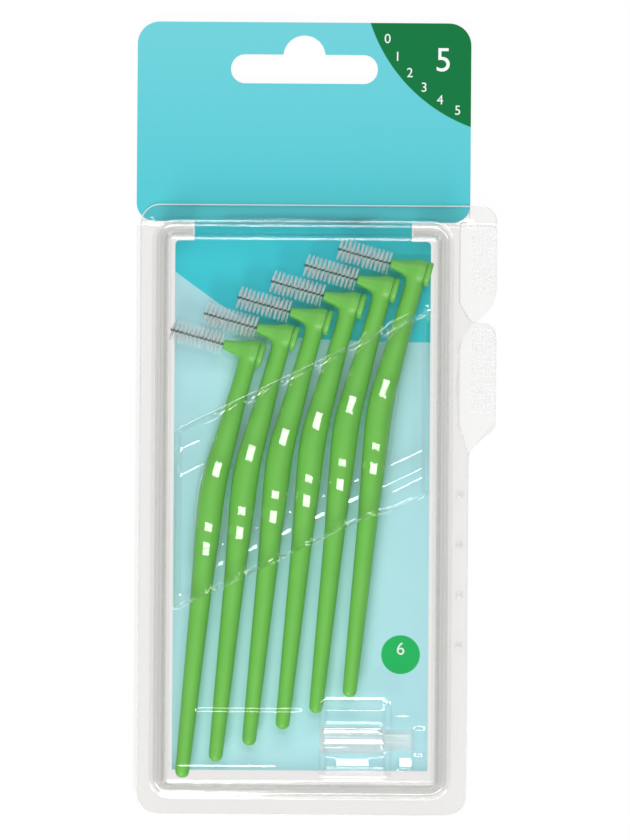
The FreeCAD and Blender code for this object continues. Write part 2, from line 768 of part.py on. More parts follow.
def make_bristles(name):
    """The bristle pack: one round row of bristles after another along the wire."""
    body = new_body(name)
    start, length = "cone_reach + bristle_start", "(wire_reach - bristle_start - bristle_end)"
    rows = SIZES["bristle_rows"]
    core, root, tip = "wire_diameter / 2 + wire_fit", "bristle_root / 2", "bristle_diameter / 2"
    profile = [(f"-({start} + {length})", core), (f"-({start})", core), (f"-({start})", root)]
    for row in range(rows):
        crest = f"-({start} + {length} * {row + 0.5} / bristle_rows)"
        valley = f"-({start} + {length} * {row + 1} / bristle_rows)"
        profile.append((crest, tip))
        profile.append((valley, root))
    turned(body, "Revolution", outline(body, f"{name}_profile", profile), True)
    return body


def place_brush_piece(body, index):
    """Put a piece at its brush's place in the row."""
    place(body, f"first_head_x + {index} * row_step_x", f"first_head_y + {index} * row_step_y",
          "axis_height", "-neck_tilt")


def make_brushes():
    """The row of brushes, each a handle, a plug, a wire and a bristle pack."""
    for index in range(SIZES["brush_count"]):
        for maker, piece in ((make_handle, "handle"), (make_plug, "plug"),
                             (make_wire, "wire"), (make_bristles, "bristles")):
            place_brush_piece(maker(f"brush_{index + 1}_{piece}"), index)


def write_parts():
    """Check every object, then write each sub-part's solid to its own file."""
    doc.recompute()
    for item in doc.Objects:
        if "Invalid" in item.State or "Error" in item.State:
            raise RuntimeError(f"{item.Name} failed: {item.State}")
    for item in subparts:
        if item.Shape.isNull() or not item.Shape.isValid() or len(item.Shape.Solids) != 1:
            raise RuntimeError(f"{item.Label} is not one valid solid")
    os.makedirs("parts", exist_ok=True)
    for item in subparts:
        item.Shape.exportStep(f"parts/{item.Label}.step")
        print(f"{item.Label}: {item.Shape.Volume:.3f} mm3")


make_rear_shell()
make_front_shell()
make_hinge()
make_card()
make_cap()
make_brushes()
write_parts()
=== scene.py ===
import math

import bmesh
import bpy
from mathutils import Matrix, Vector


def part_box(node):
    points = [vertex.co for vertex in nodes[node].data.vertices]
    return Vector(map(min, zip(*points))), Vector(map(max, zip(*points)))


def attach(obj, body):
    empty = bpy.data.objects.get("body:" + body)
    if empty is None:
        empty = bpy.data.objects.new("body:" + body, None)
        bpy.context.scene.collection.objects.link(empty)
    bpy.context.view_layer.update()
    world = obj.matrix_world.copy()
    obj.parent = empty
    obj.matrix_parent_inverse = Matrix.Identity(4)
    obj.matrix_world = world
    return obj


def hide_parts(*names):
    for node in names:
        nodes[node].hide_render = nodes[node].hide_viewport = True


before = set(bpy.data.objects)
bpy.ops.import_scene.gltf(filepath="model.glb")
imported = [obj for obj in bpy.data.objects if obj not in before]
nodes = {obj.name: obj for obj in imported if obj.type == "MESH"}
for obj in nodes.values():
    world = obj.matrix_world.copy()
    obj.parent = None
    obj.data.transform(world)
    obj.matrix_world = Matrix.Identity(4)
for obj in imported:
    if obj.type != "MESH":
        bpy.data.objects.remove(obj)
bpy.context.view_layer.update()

# A hinged clear clamshell pack with a hang card, six angled interdental brushes and a protective cap.
# Sizes and places are millimetres and degrees, in the frame's own axes: +Z up from the back face,
# +Y towards the hang slot, +X towards the finger tabs. Meshes, lights and the camera's height are in
# metres.
MM = 0.001


def node_box(name):
    """Lowest and highest corner of a node of the frame, in millimetres."""
    low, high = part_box(name)
    return low / MM, high / MM


front_low, front_high = node_box("front_shell")
card_high = node_box("printed_card")[1]
cap_low, cap_high = node_box("protective_cap")

# Clear shells
SHEET = 0.35
CAD_WALL = 0.4
FLANGE_WIDTH = 3.95
FLANGE_ROUNDING = 4.5
STEP_ROUNDING = 4.5
STEP_TOP = 5.0
DOME_TOP = front_high.z
TAB_EDGE = front_high.x
SHELL_LEFT = front_low.x
SHELL_LOW = front_low.y
SHELL_HIGH = front_high.y
SHELL_HALF = card_high.x
STEP_HALF = SHELL_HALF - FLANGE_WIDTH
STEP_LOW = SHELL_LOW + FLANGE_WIDTH
STEP_HIGH = SHELL_HIGH - FLANGE_WIDTH
FLANGE_TOP = front_low.z + CAD_WALL
COVER_RISE = 0.5
COVER_EDGE = STEP_HIGH - 0.6
COVER_RUN = 0.25
COVER_CUTS = (-0.4, -0.25, -0.1, 0.1, 0.25, 0.4)
CUT_EDGE = SHELL_HALF - 2.1

# Brushes
BRUSHES = 6
NECK_TILT = 15.5
BEND_DROP = 31.0
BEND_ANGLE = 9.85
BEND_EASE = 5.0
HANDLE_RADII = [(0, 2.0), (4, 2.0), (10, 2.1), (20, 2.5), (32, 2.9), (42, 2.775), (56, 2.3),
                (75, 1.95), (96, 1.55)]
TAIL_DROP = 96.0
WIRE_TIP = -18.6
WIRE_END = 1.0


def smooth_through(stations, at):
    """A smooth curve through (place, value) stations, read at one place."""
    if at <= stations[0][0]:
        return stations[0][1]
    if at >= stations[-1][0]:
        return stations[-1][1]
    last = len(stations) - 1
    index = next(i for i in range(last) if at <= stations[i + 1][0])

    def slope(i):
        before, after = stations[max(i - 1, 0)], stations[min(i + 1, last)]
        return (after[1] - before[1]) / (after[0] - before[0])

    (start, first), (finish, second) = stations[index], stations[index + 1]
    run = finish - start
    t = (at - start) / run
    return ((2 * t**3 - 3 * t**2 + 1) * first + (t**3 - 2 * t**2 + t) * run * slope(index)
            + (3 * t**2 - 2 * t**3) * second + (t**3 - t**2) * run * slope(index + 1))


def ease(value, start, finish):
    """0 before start and 1 after finish, with a soft change between them."""
    t = min(max((value - start) / (finish - start), 0), 1)
    return t * t * (3 - 2 * t)


def soft_max(a, b, softness):
    """The larger of two heights, rounded where they cross."""
    mix = min(max(0.5 + (a - b) / (2 * softness), 0), 1)
    return b + (a - b) * mix + softness * mix * (1 - mix)


# Materials

def shade(red, green, blue):
    """A colour written as it shows on a screen, 0 to 255, as the linear values that nodes take."""
    def linear(level):
        level = level / 255
        return level / 12.92 if level <= 0.04045 else ((level + 0.055) / 1.055) ** 2.4
    return (linear(red), linear(green), linear(blue), 1)


# Part of the noise's range that is used, and the facing values between which a film turns deeper in tone
NOISE_RANGE = (0.3, 0.7)
SEEN_ALONG = (0.55, 0.95)


class NodeBuilder:
    """A node tree under construction, with short calls for its nodes."""

    def __init__(self, tree):
        self.tree = tree

    def add(self, kind, settings=None, **inputs):
        """A node with its settings, and its inputs by name: a value, or another node's output."""
        node = self.tree.nodes.new(kind)
        for key, value in (settings or {}).items():
            setattr(node, key, value)
        for key, value in inputs.items():
            self.feed(node.inputs[key.replace("_", " ")], value)
        return node

    def feed(self, socket, value):
        """Set a socket to a value, or link an output to it."""
        if isinstance(value, bpy.types.NodeSocket):
            self.tree.links.new(value, socket)
        else:
            socket.default_value = value

    def math(self, operation, first, second=0.0):
        """One step of arithmetic."""
        node = self.tree.nodes.new("ShaderNodeMath")
        node.operation = operation
        self.feed(node.inputs[0], first)
        self.feed(node.inputs[1], second)
        return node.outputs[0]


class Finish(NodeBuilder):
    """A material under construction."""

    def __init__(self, name):
        self.material = bpy.data.materials.new(name)
        self.material.use_nodes = True
        super().__init__(self.material.node_tree)
        self.tree.nodes.clear()
        self.place = self.add("ShaderNodeTexCoord").outputs["Object"]

    def between(self, value, start, finish, low=0.0, high=1.0):
        """A value's place between start and finish, as a number from low to high."""
        node = self.add("ShaderNodeMapRange")
        for socket, number in zip(node.inputs, (value, start, finish, low, high)):
            self.feed(socket, number)
        return node.outputs[0]

    def mix(self, factor, first, second):
        """Two colours mixed by a factor."""
        node = self.add("ShaderNodeMix", {"data_type": "RGBA"})
        colours = [socket for socket in node.inputs if socket.type == "RGBA"]
        self.feed(node.inputs[0], factor)
        self.feed(colours[0], first)
        self.feed(colours[1], second)
        return next(socket for socket in node.outputs if socket.type == "RGBA")

    def noise(self, size, detail=2.0):
        """Soft noise whose features are about a size in millimetres."""
        node = self.add("ShaderNodeTexNoise", Vector=self.place, Scale=1 / (size * MM), Detail=detail)
        return node.outputs[0]

    def uneven(self, size, smoothest, roughest):
        """A roughness that changes between two values, in patches of about a size in millimetres."""
        return self.between(self.noise(size), *NOISE_RANGE, smoothest, roughest)

    def bump(self, height, depth):
        """A surface relief from a height, at most a depth in millimetres."""
        node = self.add("ShaderNodeBump", Height=height, Strength=1.0, Distance=depth * MM)
        return node.outputs["Normal"]

    def plastic(self, colour, **inputs):
        """The main surface shader."""
        return self.add("ShaderNodeBsdfPrincipled", Base_Color=colour, **inputs)

    def finish(self, shader):
        """Make a shader the material's surface."""
        output = self.add("ShaderNodeOutputMaterial")
        self.tree.links.new(shader.outputs[0], output.inputs["Surface"])
        return self.material

    def blend(self, factor, first, second):
        """Two shaders mixed by a factor."""
        node = self.add("ShaderNodeMixShader")
        self.feed(node.inputs[0], factor)
        self.feed(node.inputs[1], first.outputs[0])
        self.feed(node.inputs[2], second.outputs[0])
        return node

    def mirror_share(self, straight):
        """Share of light that a glossy surface mirrors, from straight on to along the surface."""
        facing = self.add("ShaderNodeLayerWeight", Blend=0.5).outputs["Facing"]
        grazing = self.math("MULTIPLY", self.math("POWER", facing, 5.0), 1 - straight)
        return self.math("ADD", grazing, straight)

    def film(self, tint, edge_tint):
        """A see-through film, deeper in tone where it is seen along its surface."""
        facing = self.add("ShaderNodeLayerWeight", Blend=0.5).outputs["Facing"]
        colour = self.mix(self.between(facing, *SEEN_ALONG), tint, edge_tint)
        return self.add("ShaderNodeBsdfTransparent", Color=colour)


# Face attribute of the clear sheets: how tightly the sheet is bent, from 0 to 1
CURL = "curl"
EDGE_GLINT = 0.08
SHEET_MIRROR = 0.045
SHEET_TINT = (1.0, 0.997, 0.992, 1)
SHEET_EDGE_TINT = (0.80, 0.80, 0.79, 1)
# Painted shade: a tone that greys the sheet over the lower step's wall and the ridge, standing in for the
# grey that reflections give there, and the heights between which that starts and ends
WALL_SHADE_TINT = (0.92, 0.918, 0.91, 1)
WALL_SHADE_FROM = (1.3, 2.0)
WALL_SHADE_TO = (5.4, 5.15)
FROST_SHARE = 0.6
CAP_MIRROR = 0.02
CAP_MOST_MIRROR = 0.03
CAP_MILK = 0.15


def clear_sheet():
    """Clear formed sheet: glossy, with a slow ripple from forming, greyer where seen along it, and with
    painted shade on its lower walls and ridge.
    """
    finish = Finish("clear_sheet")
    height = finish.add("ShaderNodeSeparateXYZ", Vector=finish.place).outputs[2]
    # Painted shade: greys the sheet between two heights, over the lower step's wall and the ridge
    starts = finish.between(height, *(level * MM for level in WALL_SHADE_FROM))
    ends = finish.between(height, *(level * MM for level in WALL_SHADE_TO))
    painted_wall_shade = finish.math("MULTIPLY", starts, ends)
    film = finish.film(finish.mix(painted_wall_shade, SHEET_TINT, WALL_SHADE_TINT), SHEET_EDGE_TINT)
    relief = finish.bump(finish.noise(11.0, 1.0), 0.01)
    roughness = finish.uneven(5.0, 0.05, 0.1)
    gloss = finish.add("ShaderNodeBsdfGlossy", Color=(1, 1, 1, 1), Roughness=roughness, Normal=relief)
    curl = finish.add("ShaderNodeAttribute", {"attribute_name": CURL}).outputs["Fac"]
    mirror = finish.mirror_share(SHEET_MIRROR)
    share = finish.math("ADD", mirror, finish.math("MULTIPLY", curl, EDGE_GLINT))
    return finish.finish(finish.blend(share, film, gloss))


def cut_edge():
    """The sheets' cut edge, frosted by the cutting die."""
    finish = Finish("cut_edge")
    frost = finish.mix(finish.noise(1.5), shade(244, 247, 247), shade(255, 255, 255))
    white = finish.add("ShaderNodeBsdfDiffuse", Color=frost)
    return finish.finish(finish.blend(FROST_SHARE, finish.add("ShaderNodeBsdfTransparent"), white))


def clear_cap():
    """Thin moulded cap: clear with a milky cast."""
    finish = Finish("clear_cap")
    film = finish.film((1.0, 1.0, 1.0, 1), (0.97, 0.98, 0.98, 1))
    milk = finish.mix(finish.noise(3.0), shade(246, 252, 252), shade(253, 255, 255))
    cast = finish.add("ShaderNodeBsdfDiffuse", Color=milk)
    relief = finish.bump(finish.noise(4.0, 1.0), 0.01)
    roughness = finish.uneven(2.0, 0.06, 0.12)
    gloss = finish.add("ShaderNodeBsdfGlossy", Color=(1, 1, 1, 1), Roughness=roughness, Normal=relief)
    lit = finish.math("SUBTRACT", 1.0, finish.add("ShaderNodeLightPath").outputs["Is Shadow Ray"])
    mirror = finish.math("MINIMUM", finish.mirror_share(CAP_MIRROR), CAP_MOST_MIRROR)
    share = finish.math("MULTIPLY", mirror, lit)
    body = finish.blend(finish.math("MULTIPLY", lit, CAP_MILK), film, cast)
    return finish.finish(finish.blend(share, body, gloss))


# Share of the light that passes through the green plastic and tints its shadow, and through a filament
LIGHT_THROUGH = 0.5
FILAMENT_CLEAR = 0.4


def green_plastic():
    """Satin moulded plastic, slightly uneven in colour and gloss, that lets some light through."""
    finish = Finish("green_plastic_satin")
    colour = finish.mix(finish.noise(7.0), shade(104, 192, 66), shade(116, 199, 80))
    roughness = finish.uneven(1.2, 0.36, 0.46)
    relief = finish.bump(finish.noise(0.25), 0.004)
    solid = finish.plastic(colour, Roughness=roughness, Normal=relief)
    through = finish.add("ShaderNodeBsdfTransparent", Color=(0.02, 0.75, 0.42, 1))
    shadow = finish.add("ShaderNodeLightPath").outputs["Is Shadow Ray"]
    return finish.finish(finish.blend(finish.math("MULTIPLY", shadow, LIGHT_THROUGH), solid, through))


def wire_coating():
    """Dark green coating on the twisted wire."""
    finish = Finish("wire_coating")
    colour = finish.mix(finish.noise(0.6), shade(12, 66, 48), shade(28, 92, 66))
    roughness = finish.uneven(0.3, 0.25, 0.4)
    return finish.finish(finish.plastic(colour, Roughness=roughness))


def nylon_filament():
    """White nylon, slightly see-through."""
    finish = Finish("nylon_filament")
    colour = finish.mix(finish.noise(0.8), shade(246, 251, 251), shade(253, 255, 255))
    roughness = finish.uneven(0.4, 0.3, 0.45)
    clear = finish.add("ShaderNodeBsdfTransparent")
    return finish.finish(finish.blend(FILAMENT_CLEAR, finish.plastic(colour, Roughness=roughness), clear))


def ink(name, colour, deeper):
    """Printed ink with the card's fine grain."""
    finish = Finish(name)
    tone = finish.mix(finish.noise(0.4), colour, deeper)
    roughness = finish.uneven(0.8, 0.4, 0.5)
    return finish.finish(finish.plastic(tone, Roughness=roughness))


# Print zones of the card
CORNER_CENTRE = (50.1, 100.8)
CORNER_RADIUS = 37.2
WAVE_LEVEL = 17.0
WAVE_START = (-28.7, 32.3)
WAVE_SLOPE = -0.776
WAVE_EASE = 3.2
BADGE_CENTRE = (22.5, -52.8)
BADGE_RADIUS = 4.36
PRINT_EDGE = 0.08
PRINT_DEPTH = (0.06, 0.03)
HEADER_PRINT = (44.0, 89.0)
HEADER_EDGE = 0.1


def printed_board():
    """White board, printed on its front: teal header, green corner, pale panel with a teal wave."""
    finish = Finish("printed_board")
    axes = finish.add("ShaderNodeSeparateXYZ", Vector=finish.place)
    across, along, height = (finish.math("DIVIDE", axis, MM) for axis in axes.outputs)

    def inside_circle(centre, radius):
        aside = finish.math("SUBTRACT", across, centre[0])
        up = finish.math("SUBTRACT", along, centre[1])
        square = finish.math("MULTIPLY", aside, aside)
        square = finish.math("ADD", square, finish.math("MULTIPLY", up, up))
        return finish.between(finish.math("SQRT", square), radius + PRINT_EDGE, radius - PRINT_EDGE)

    grain = finish.noise(0.35)
    cloud = finish.noise(14.0)
    header = finish.mix(finish.between(along, *HEADER_PRINT), shade(78, 196, 205), shade(110, 205, 214))
    slant = finish.math("MULTIPLY", finish.math("SUBTRACT", across, WAVE_START[0]), WAVE_SLOPE)
    slant = finish.math("ADD", slant, WAVE_START[1] - WAVE_LEVEL)
    half_slant = finish.math("MULTIPLY", slant, 0.5)
    bend = finish.math("ADD", finish.math("MULTIPLY", half_slant, half_slant), WAVE_EASE**2)
    wave = finish.math("ADD", finish.math("ADD", half_slant, finish.math("SQRT", bend)), WAVE_LEVEL)
    above_wave = finish.math("SUBTRACT", along, wave)
    pale = finish.mix(cloud, shade(175, 228, 236), shade(186, 234, 242))
    teal = finish.mix(cloud, shade(44, 202, 216), shade(60, 208, 221))
    panel = finish.mix(finish.between(above_wave, -PRINT_EDGE, PRINT_EDGE), pale, teal)
    in_header = finish.between(along, HEADER_PRINT[0] - HEADER_EDGE, HEADER_PRINT[0])
    colour = finish.mix(in_header, panel, header)
    colour = finish.mix(inside_circle(CORNER_CENTRE, CORNER_RADIUS), colour, shade(0, 116, 60))
    colour = finish.mix(inside_circle(BADGE_CENTRE, BADGE_RADIUS), colour, shade(0, 184, 92))
    board = finish.mix(grain, shade(226, 224, 218), shade(240, 238, 233))
    on_top = finish.between(height, *(card_high.z - depth for depth in PRINT_DEPTH))
    colour = finish.mix(on_top, board, colour)
    roughness = finish.between(grain, *NOISE_RANGE, 0.42, 0.55)
    relief = finish.bump(grain, 0.006)
    paper = finish.plastic(colour, Roughness=roughness, Normal=relief, Specular_IOR_Level=0.15)
    return finish.finish(paper)


SHELL_CLEAR = clear_sheet()
CUT_EDGE_FROST = cut_edge()
CAP_CLEAR = clear_cap()
GREEN = green_plastic()
WIRE_COAT = wire_coating()
NYLON = nylon_filament()
BOARD = printed_board()
WHITE_INK = ink("white_ink", shade(246, 248, 246), shade(236, 240, 238))


# Mesh helpers

# Points nearer to each other than this, in metres, count as one
WELD = 1e-7


def in_scene(name, data):
    """A new object in the scene."""
    item = bpy.data.objects.new(name, data)
    bpy.context.scene.collection.objects.link(item)
    return item


def put(name, mesh, body, slot, *stands_for):
    """A finished piece at the origin, riding on a body, in place of nodes of the frame."""
    piece = in_scene(name, mesh)
    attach(piece, body)
    if stands_for:
        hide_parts(*stands_for)
    return piece


def new_mesh(name, points, faces, material):
    """A mesh from points in millimetres."""
    mesh = bpy.data.meshes.new(name)
    mesh.from_pydata([Vector(point) * MM for point in points], [], faces)
    mesh.materials.append(material)
    return mesh


def soften(mesh, sharp_from):
    """Smooth shading, with edges sharp from an angle."""
    mesh.shade_smooth()
    mesh.set_sharp_from_angle(angle=math.radians(sharp_from))
    return mesh


def settled(maker):
    """The plain mesh that an object's modifiers give. The object is removed."""
    bpy.context.view_layer.update()
    graph = bpy.context.evaluated_depsgraph_get()
    mesh = bpy.data.meshes.new_from_object(maker.evaluated_get(graph))
    bpy.data.objects.remove(maker)
    return mesh


def maker_object(data):
    """A working object, whose plain mesh settled() takes."""
    return in_scene("maker", data)


def spun(name, profile, segments, material):
    """A profile of (along, radius) points, spun about the X axis into a closed mesh."""
    points, faces, rings = [], [], []
    for along, radius in profile:
        if radius == 0:
            rings.append([len(points)] * segments)
            points.append((along, 0, 0))
            continue
        rings.append([len(points) + step for step in range(segments)])
        for step in range(segments):
            angle = 2 * math.pi * step / segments
            points.append((along, radius * math.cos(angle), radius * math.sin(angle)))
    closed = profile[0][1] > 0
    pairs = list(zip(rings, rings[1:] + rings[:1])) if closed else list(zip(rings, rings[1:]))
    for first, second in pairs:
        for step in range(segments):
            ahead = (step + 1) % segments
            corners = [first[step], first[ahead], second[ahead], second[step]]
            faces.append(list(dict.fromkeys(corners)))
    mesh = new_mesh(name, points, faces, material)
    outwards(mesh)
    return mesh


def outwards(mesh):
    """Turn a closed mesh's faces outwards."""
    work = bmesh.new()
    work.from_mesh(mesh)
    bmesh.ops.recalc_face_normals(work, faces=work.faces)
    work.to_mesh(mesh)
    work.free()


def corner_arc(before, tip, after, radius, steps):
    """Points of the arc that rounds a corner, or the corner itself where it has no radius."""
    if radius == 0:
        return [tip]
    back = (before - tip).normalized()
    ahead = (after - tip).normalized()
    half = back.angle(ahead) / 2
    centre = tip + (back + ahead).normalized() * (radius / math.sin(half))
    entry = tip + back * (radius / math.tan(half)) - centre
    leave = tip + ahead * (radius / math.tan(half)) - centre
    sweep = math.atan2(entry.x * leave.y - entry.y * leave.x, entry.dot(leave))
    return [centre + Matrix.Rotation(sweep * step / steps, 2) @ entry for step in range(steps + 1)]


def rounded(corners, steps):
    """An outline through corners (x, y, radius), with each rounded corner as an arc of steps."""
    tips = [Vector(corner[:2]) for corner in corners]
    points = []
    for index, (_, _, radius) in enumerate(corners):
        ahead = tips[(index + 1) % len(tips)]
        points += corner_arc(tips[index - 1], tips[index], ahead, radius, steps)
    return points


def fillet_line(corners, steps=4):
    """An open profile through corners (inset, height, radius), with arcs at the rounded ones."""
    tips = [Vector(corner[:2]) for corner in corners]
    line = tips[:1]
    for index in range(1, len(tips) - 1):
        line += corner_arc(tips[index - 1], tips[index], tips[index + 1], corners[index][2], steps)
    return line + tips[-1:]


def bridge(work, lower, upper):
    """Faces between two closed rings of vertices."""
    shifted = zip(lower, lower[1:] + lower[:1], upper[1:] + upper[:1], upper)
    return [work.faces.new(corners) for corners in shifted]


def edge_loop(work, corners):
    """The edges of a closed ring of vertices, made where they are missing."""
    pairs = zip(corners, corners[1:] + corners[:1])
    return [work.edges.get(pair) or work.edges.new(pair) for pair in pairs]


# Brushes

def sway(drop):
    """How far the handle has bent aside at a distance below the head, eased round the bend."""
    past = drop - BEND_DROP
    if past <= -BEND_EASE:
        run = 0
    elif past >= BEND_EASE:
        run = past
    else:
        run = (past + BEND_EASE) ** 2 / (4 * BEND_EASE)
    return run * math.tan(math.radians(BEND_ANGLE))


def handle_radius(drop):
    """Half the handle's thickness at a distance below the head."""
    return smooth_through(HANDLE_RADII, drop)


NECK_START = 1.0
NECK_FLARE = 0.5
FLARE_END = 5.0
TAIL_ROUNDING = 1.35
TAIL_STEPS = 6
LEAN_REACH = 0.1
FINE_STEP = 0.3
FINE_END = 9.0
RING_STEP = 1.2
HANDLE_SIDES = 40


def handle_tube():
    """The bent, tapered shank from inside the head to the rounded tail."""
    drops = [NECK_START]
    while drops[-1] < TAIL_DROP - TAIL_ROUNDING - RING_STEP:
        drops.append(drops[-1] + (FINE_STEP if drops[-1] < FINE_END else RING_STEP))
    rings = [(drop, handle_radius(drop)) for drop in drops]
    end_radius = handle_radius(TAIL_DROP)
    for step in range(TAIL_STEPS + 1):
        angle = math.pi / 2 * step / TAIL_STEPS
        drop = TAIL_DROP - TAIL_ROUNDING * (1 - math.sin(angle))
        rings.append((drop, end_radius - TAIL_ROUNDING * (1 - math.cos(angle))))
    points, faces = [], []
    for drop, radius in rings:
        lean = math.atan((sway(drop + LEAN_REACH) - sway(drop - LEAN_REACH)) / (2 * LEAN_REACH))
        flare = NECK_FLARE * (1 - ease(drop, NECK_START, FLARE_END)) ** 2
        for side in range(HANDLE_SIDES):
            angle = 2 * math.pi * side / HANDLE_SIDES
            aside = radius * math.cos(angle) + flare * min(math.cos(angle), 0)
            points.append((sway(drop) + aside * math.cos(lean), -drop + aside * math.sin(lean),
                           radius * math.sin(angle)))
    for ring in range(len(rings) - 1):
        for side in range(HANDLE_SIDES):
            here, there = ring * HANDLE_SIDES, (ring + 1) * HANDLE_SIDES
            ahead = (side + 1) % HANDLE_SIDES
            faces.append([here + side, there + side, there + ahead, here + ahead])
    faces.append(list(range(HANDLE_SIDES)))
    faces.append(list(range((len(rings) - 1) * HANDLE_SIDES, len(rings) * HANDLE_SIDES)))
    mesh = new_mesh("handle_tube", points, faces, GREEN)
    outwards(mesh)
    return mesh


HEAD_SIDES = 48
# Profiles along the wire, from the handle's axis: place, radius and, for the head, the rounding
HEAD_LINE = [(-6.3, 0, 0), (-6.3, 1.03, 0.3), (-2.8, 1.75, 8.0), (0.0, 2.725, 3.0), (1.75, 2.725, 0.25),
             (1.75, 0, 0)]
BORE_LINE = [(-7.0, 0), (-7.0, 0.35), (-1.2, 0.35), (-1.2, 1.5), (1.82, 1.5), (1.82, 3.1), (3.6, 3.1),
             (3.6, 0)]
HEAD_VOXEL = 0.16
BLEND_REACH = 1.1
BLEND_CORE = 0.4
BLEND_PASSES = 45


def joined(base, tool, operation):
    """Two closed meshes united, or one cut from the other."""
    maker = maker_object(base)
    cutter = maker_object(tool)
    change = maker.modifiers.new("change", "BOOLEAN")
    change.operation = operation
    change.object = cutter
    change.solver = "EXACT"
    mesh = settled(maker)
    bpy.data.objects.remove(cutter)
    return mesh


def head_radius(along):
    """Half the head's thickness at a place along the wire."""
    stations = [(corner[0], corner[1]) for corner in HEAD_LINE[1:-1]]
    if not stations[0][0] <= along <= stations[-1][0]:
        return 0
    index = next(i for i in range(len(stations) - 1) if along <= stations[i + 1][0])
    (start, first), (finish, second) = stations[index], stations[index + 1]
    return first + (second - first) * (along - start) / (finish - start)


def blended_neck(mesh):
    """Melt the seam where the shank runs into the head."""
    maker = maker_object(mesh)
    cells = maker.modifiers.new("cells", "REMESH")
    cells.mode = "VOXEL"
    cells.voxel_size = HEAD_VOXEL * MM
    maker = maker_object(settled(maker))
    seam = maker.vertex_groups.new(name="seam")
    for vertex in maker.data.vertices:
        x, y, z = vertex.co / MM
        off_shank = abs(math.hypot(x - sway(-y), z) - handle_radius(-y))
        off_head = abs(math.hypot(y, z) - head_radius(x))
        share = 1 - ease(max(off_shank, off_head), BLEND_CORE * BLEND_REACH, BLEND_REACH)
        if share > 0 and y < 0:
            seam.add([vertex.index], share, "REPLACE")
    melt = maker.modifiers.new("melt", "SMOOTH")
    melt.factor = 0.5
    melt.iterations = BLEND_PASSES
    melt.vertex_group = seam.name
    return settled(maker)


def handle_mesh():
    """The whole handle: shank and cone-shaped head in one, bored for the wire and the plug."""
    profile = [tuple(point) for point in fillet_line(HEAD_LINE, steps=6)]
    head = spun("handle_head", profile, HEAD_SIDES, GREEN)
    bore = spun("handle_bore", BORE_LINE, HEAD_SIDES, GREEN)
    whole = blended_neck(joined(handle_tube(), head, "UNION"))
    return soften(joined(whole, bore, "DIFFERENCE"), sharp_from=50)


PLUG_LINE = [(-1.15, 0.35, 0), (-1.15, 1.45, 0.15), (1.8, 1.45, 0.05), (1.8, 2.35, 0.05),
             (2.05, 2.35, 0.05), (2.05, 2.8, 0.15), (3.05, 2.8, 0.35), (3.05, 0, 0)]
PLUG_SOCKET = [(1.05, 0), (1.05, 0.35)]


def plug_mesh():
    """The disc and stub that close the back of the head."""
    profile = PLUG_SOCKET + [tuple(point) for point in fillet_line(PLUG_LINE, steps=5)]
    return soften(spun("plug", profile, HEAD_SIDES, GREEN), sharp_from=50)


class NodeTree(NodeBuilder):
    """A Geometry Nodes tree under construction, with named inputs."""

    def __init__(self, name):
        super().__init__(bpy.data.node_groups.new(name, "GeometryNodeTree"))
        self.tree.interface.new_socket("Geometry", in_out="OUTPUT", socket_type="NodeSocketGeometry")
        self.given = {}
        self.source = None

    def take(self, name, value, kind="NodeSocketFloat"):
        """A named input with its value."""
        socket = self.tree.interface.new_socket(name, in_out="INPUT", socket_type=kind)
        self.given[socket.identifier] = value
        if self.source is None:
            self.source = self.tree.nodes.new("NodeGroupInput")
        return next(out for out in self.source.outputs if out.identifier == socket.identifier)

    def random(self, low, high, seed):
        """A random number for each point."""
        node = self.add("FunctionNodeRandomValue", {"data_type": "FLOAT"}, Seed=seed)
        numbers = [socket for socket in node.inputs if socket.type == "VALUE" and socket.enabled]
        self.feed(numbers[0], low)
        self.feed(numbers[1], high)
        return next(out for out in node.outputs if out.enabled)

    def vector(self, x=0.0, y=0.0, z=0.0):
        """A vector from its three numbers."""
        return self.add("ShaderNodeCombineXYZ", X=x, Y=y, Z=z).outputs[0]

    def moved(self, node, **inputs):
        """A node's geometry, shifted, turned or scaled."""
        return self.add("GeometryNodeTransform", Geometry=node.outputs[0], **inputs)

    def copied(self, node, line, **inputs):
        """A node's geometry, copied to each point of another's."""
        return self.add("GeometryNodeInstanceOnPoints", Points=line.outputs[0], Instance=node.outputs[0],
                        **inputs)

    def made(self, node, material):
        """Finish the tree with a node's geometry, run it once and return its plain mesh."""
        real = self.add("GeometryNodeRealizeInstances", Geometry=node.outputs[0])
        painted = self.add("GeometryNodeSetMaterial", Geometry=real.outputs[0])
        self.feed(painted.inputs["Material"], self.take("Material", material, "NodeSocketMaterial"))
        output = self.tree.nodes.new("NodeGroupOutput")
        self.tree.links.new(painted.outputs[0], output.inputs[0])
        maker = maker_object(bpy.data.meshes.new(self.tree.name))
        change = maker.modifiers.new("nodes", "NODES")
        change.node_group = self.tree
        for identifier, value in self.given.items():
            change[identifier] = value
        return settled(maker)


STRAND_RADIUS = 0.13
STRAND_OFFSET = 0.2
TWIST_PITCH = 1.9


def wire_mesh():
    """Two strands twisted round each other along the X axis."""
    twist = NodeTree("twisted_wire")
    strand = twist.take("Strand radius", STRAND_RADIUS * MM)
    offset = twist.take("Strand offset", STRAND_OFFSET * MM)
    turns = twist.take("Turns", (WIRE_END - WIRE_TIP) / TWIST_PITCH)
    length = twist.take("Length", (WIRE_END - WIRE_TIP) * MM)
    spiral = twist.add("GeometryNodeCurveSpiral", Resolution=14, Rotations=turns, Start_Radius=offset,
                       End_Radius=offset, Height=length)
    section = twist.add("GeometryNodeCurvePrimitiveCircle", Resolution=7, Radius=strand)
    tube = twist.add("GeometryNodeCurveToMesh", Curve=spiral.outputs[0], Profile_Curve=section.outputs[0],
                     Fill_Caps=True)
    other = twist.moved(tube, Rotation=(0, 0, math.pi))
    pair = twist.tree.nodes.new("GeometryNodeJoinGeometry")
    twist.tree.links.new(tube.outputs[0], pair.inputs[0])
    twist.tree.links.new(other.outputs[0], pair.inputs[0])
    laid = twist.moved(pair, Rotation=(0, math.pi / 2, 0), Translation=(WIRE_TIP * MM, 0, 0))
    return soften(twist.made(laid, WIRE_COAT), sharp_from=60)


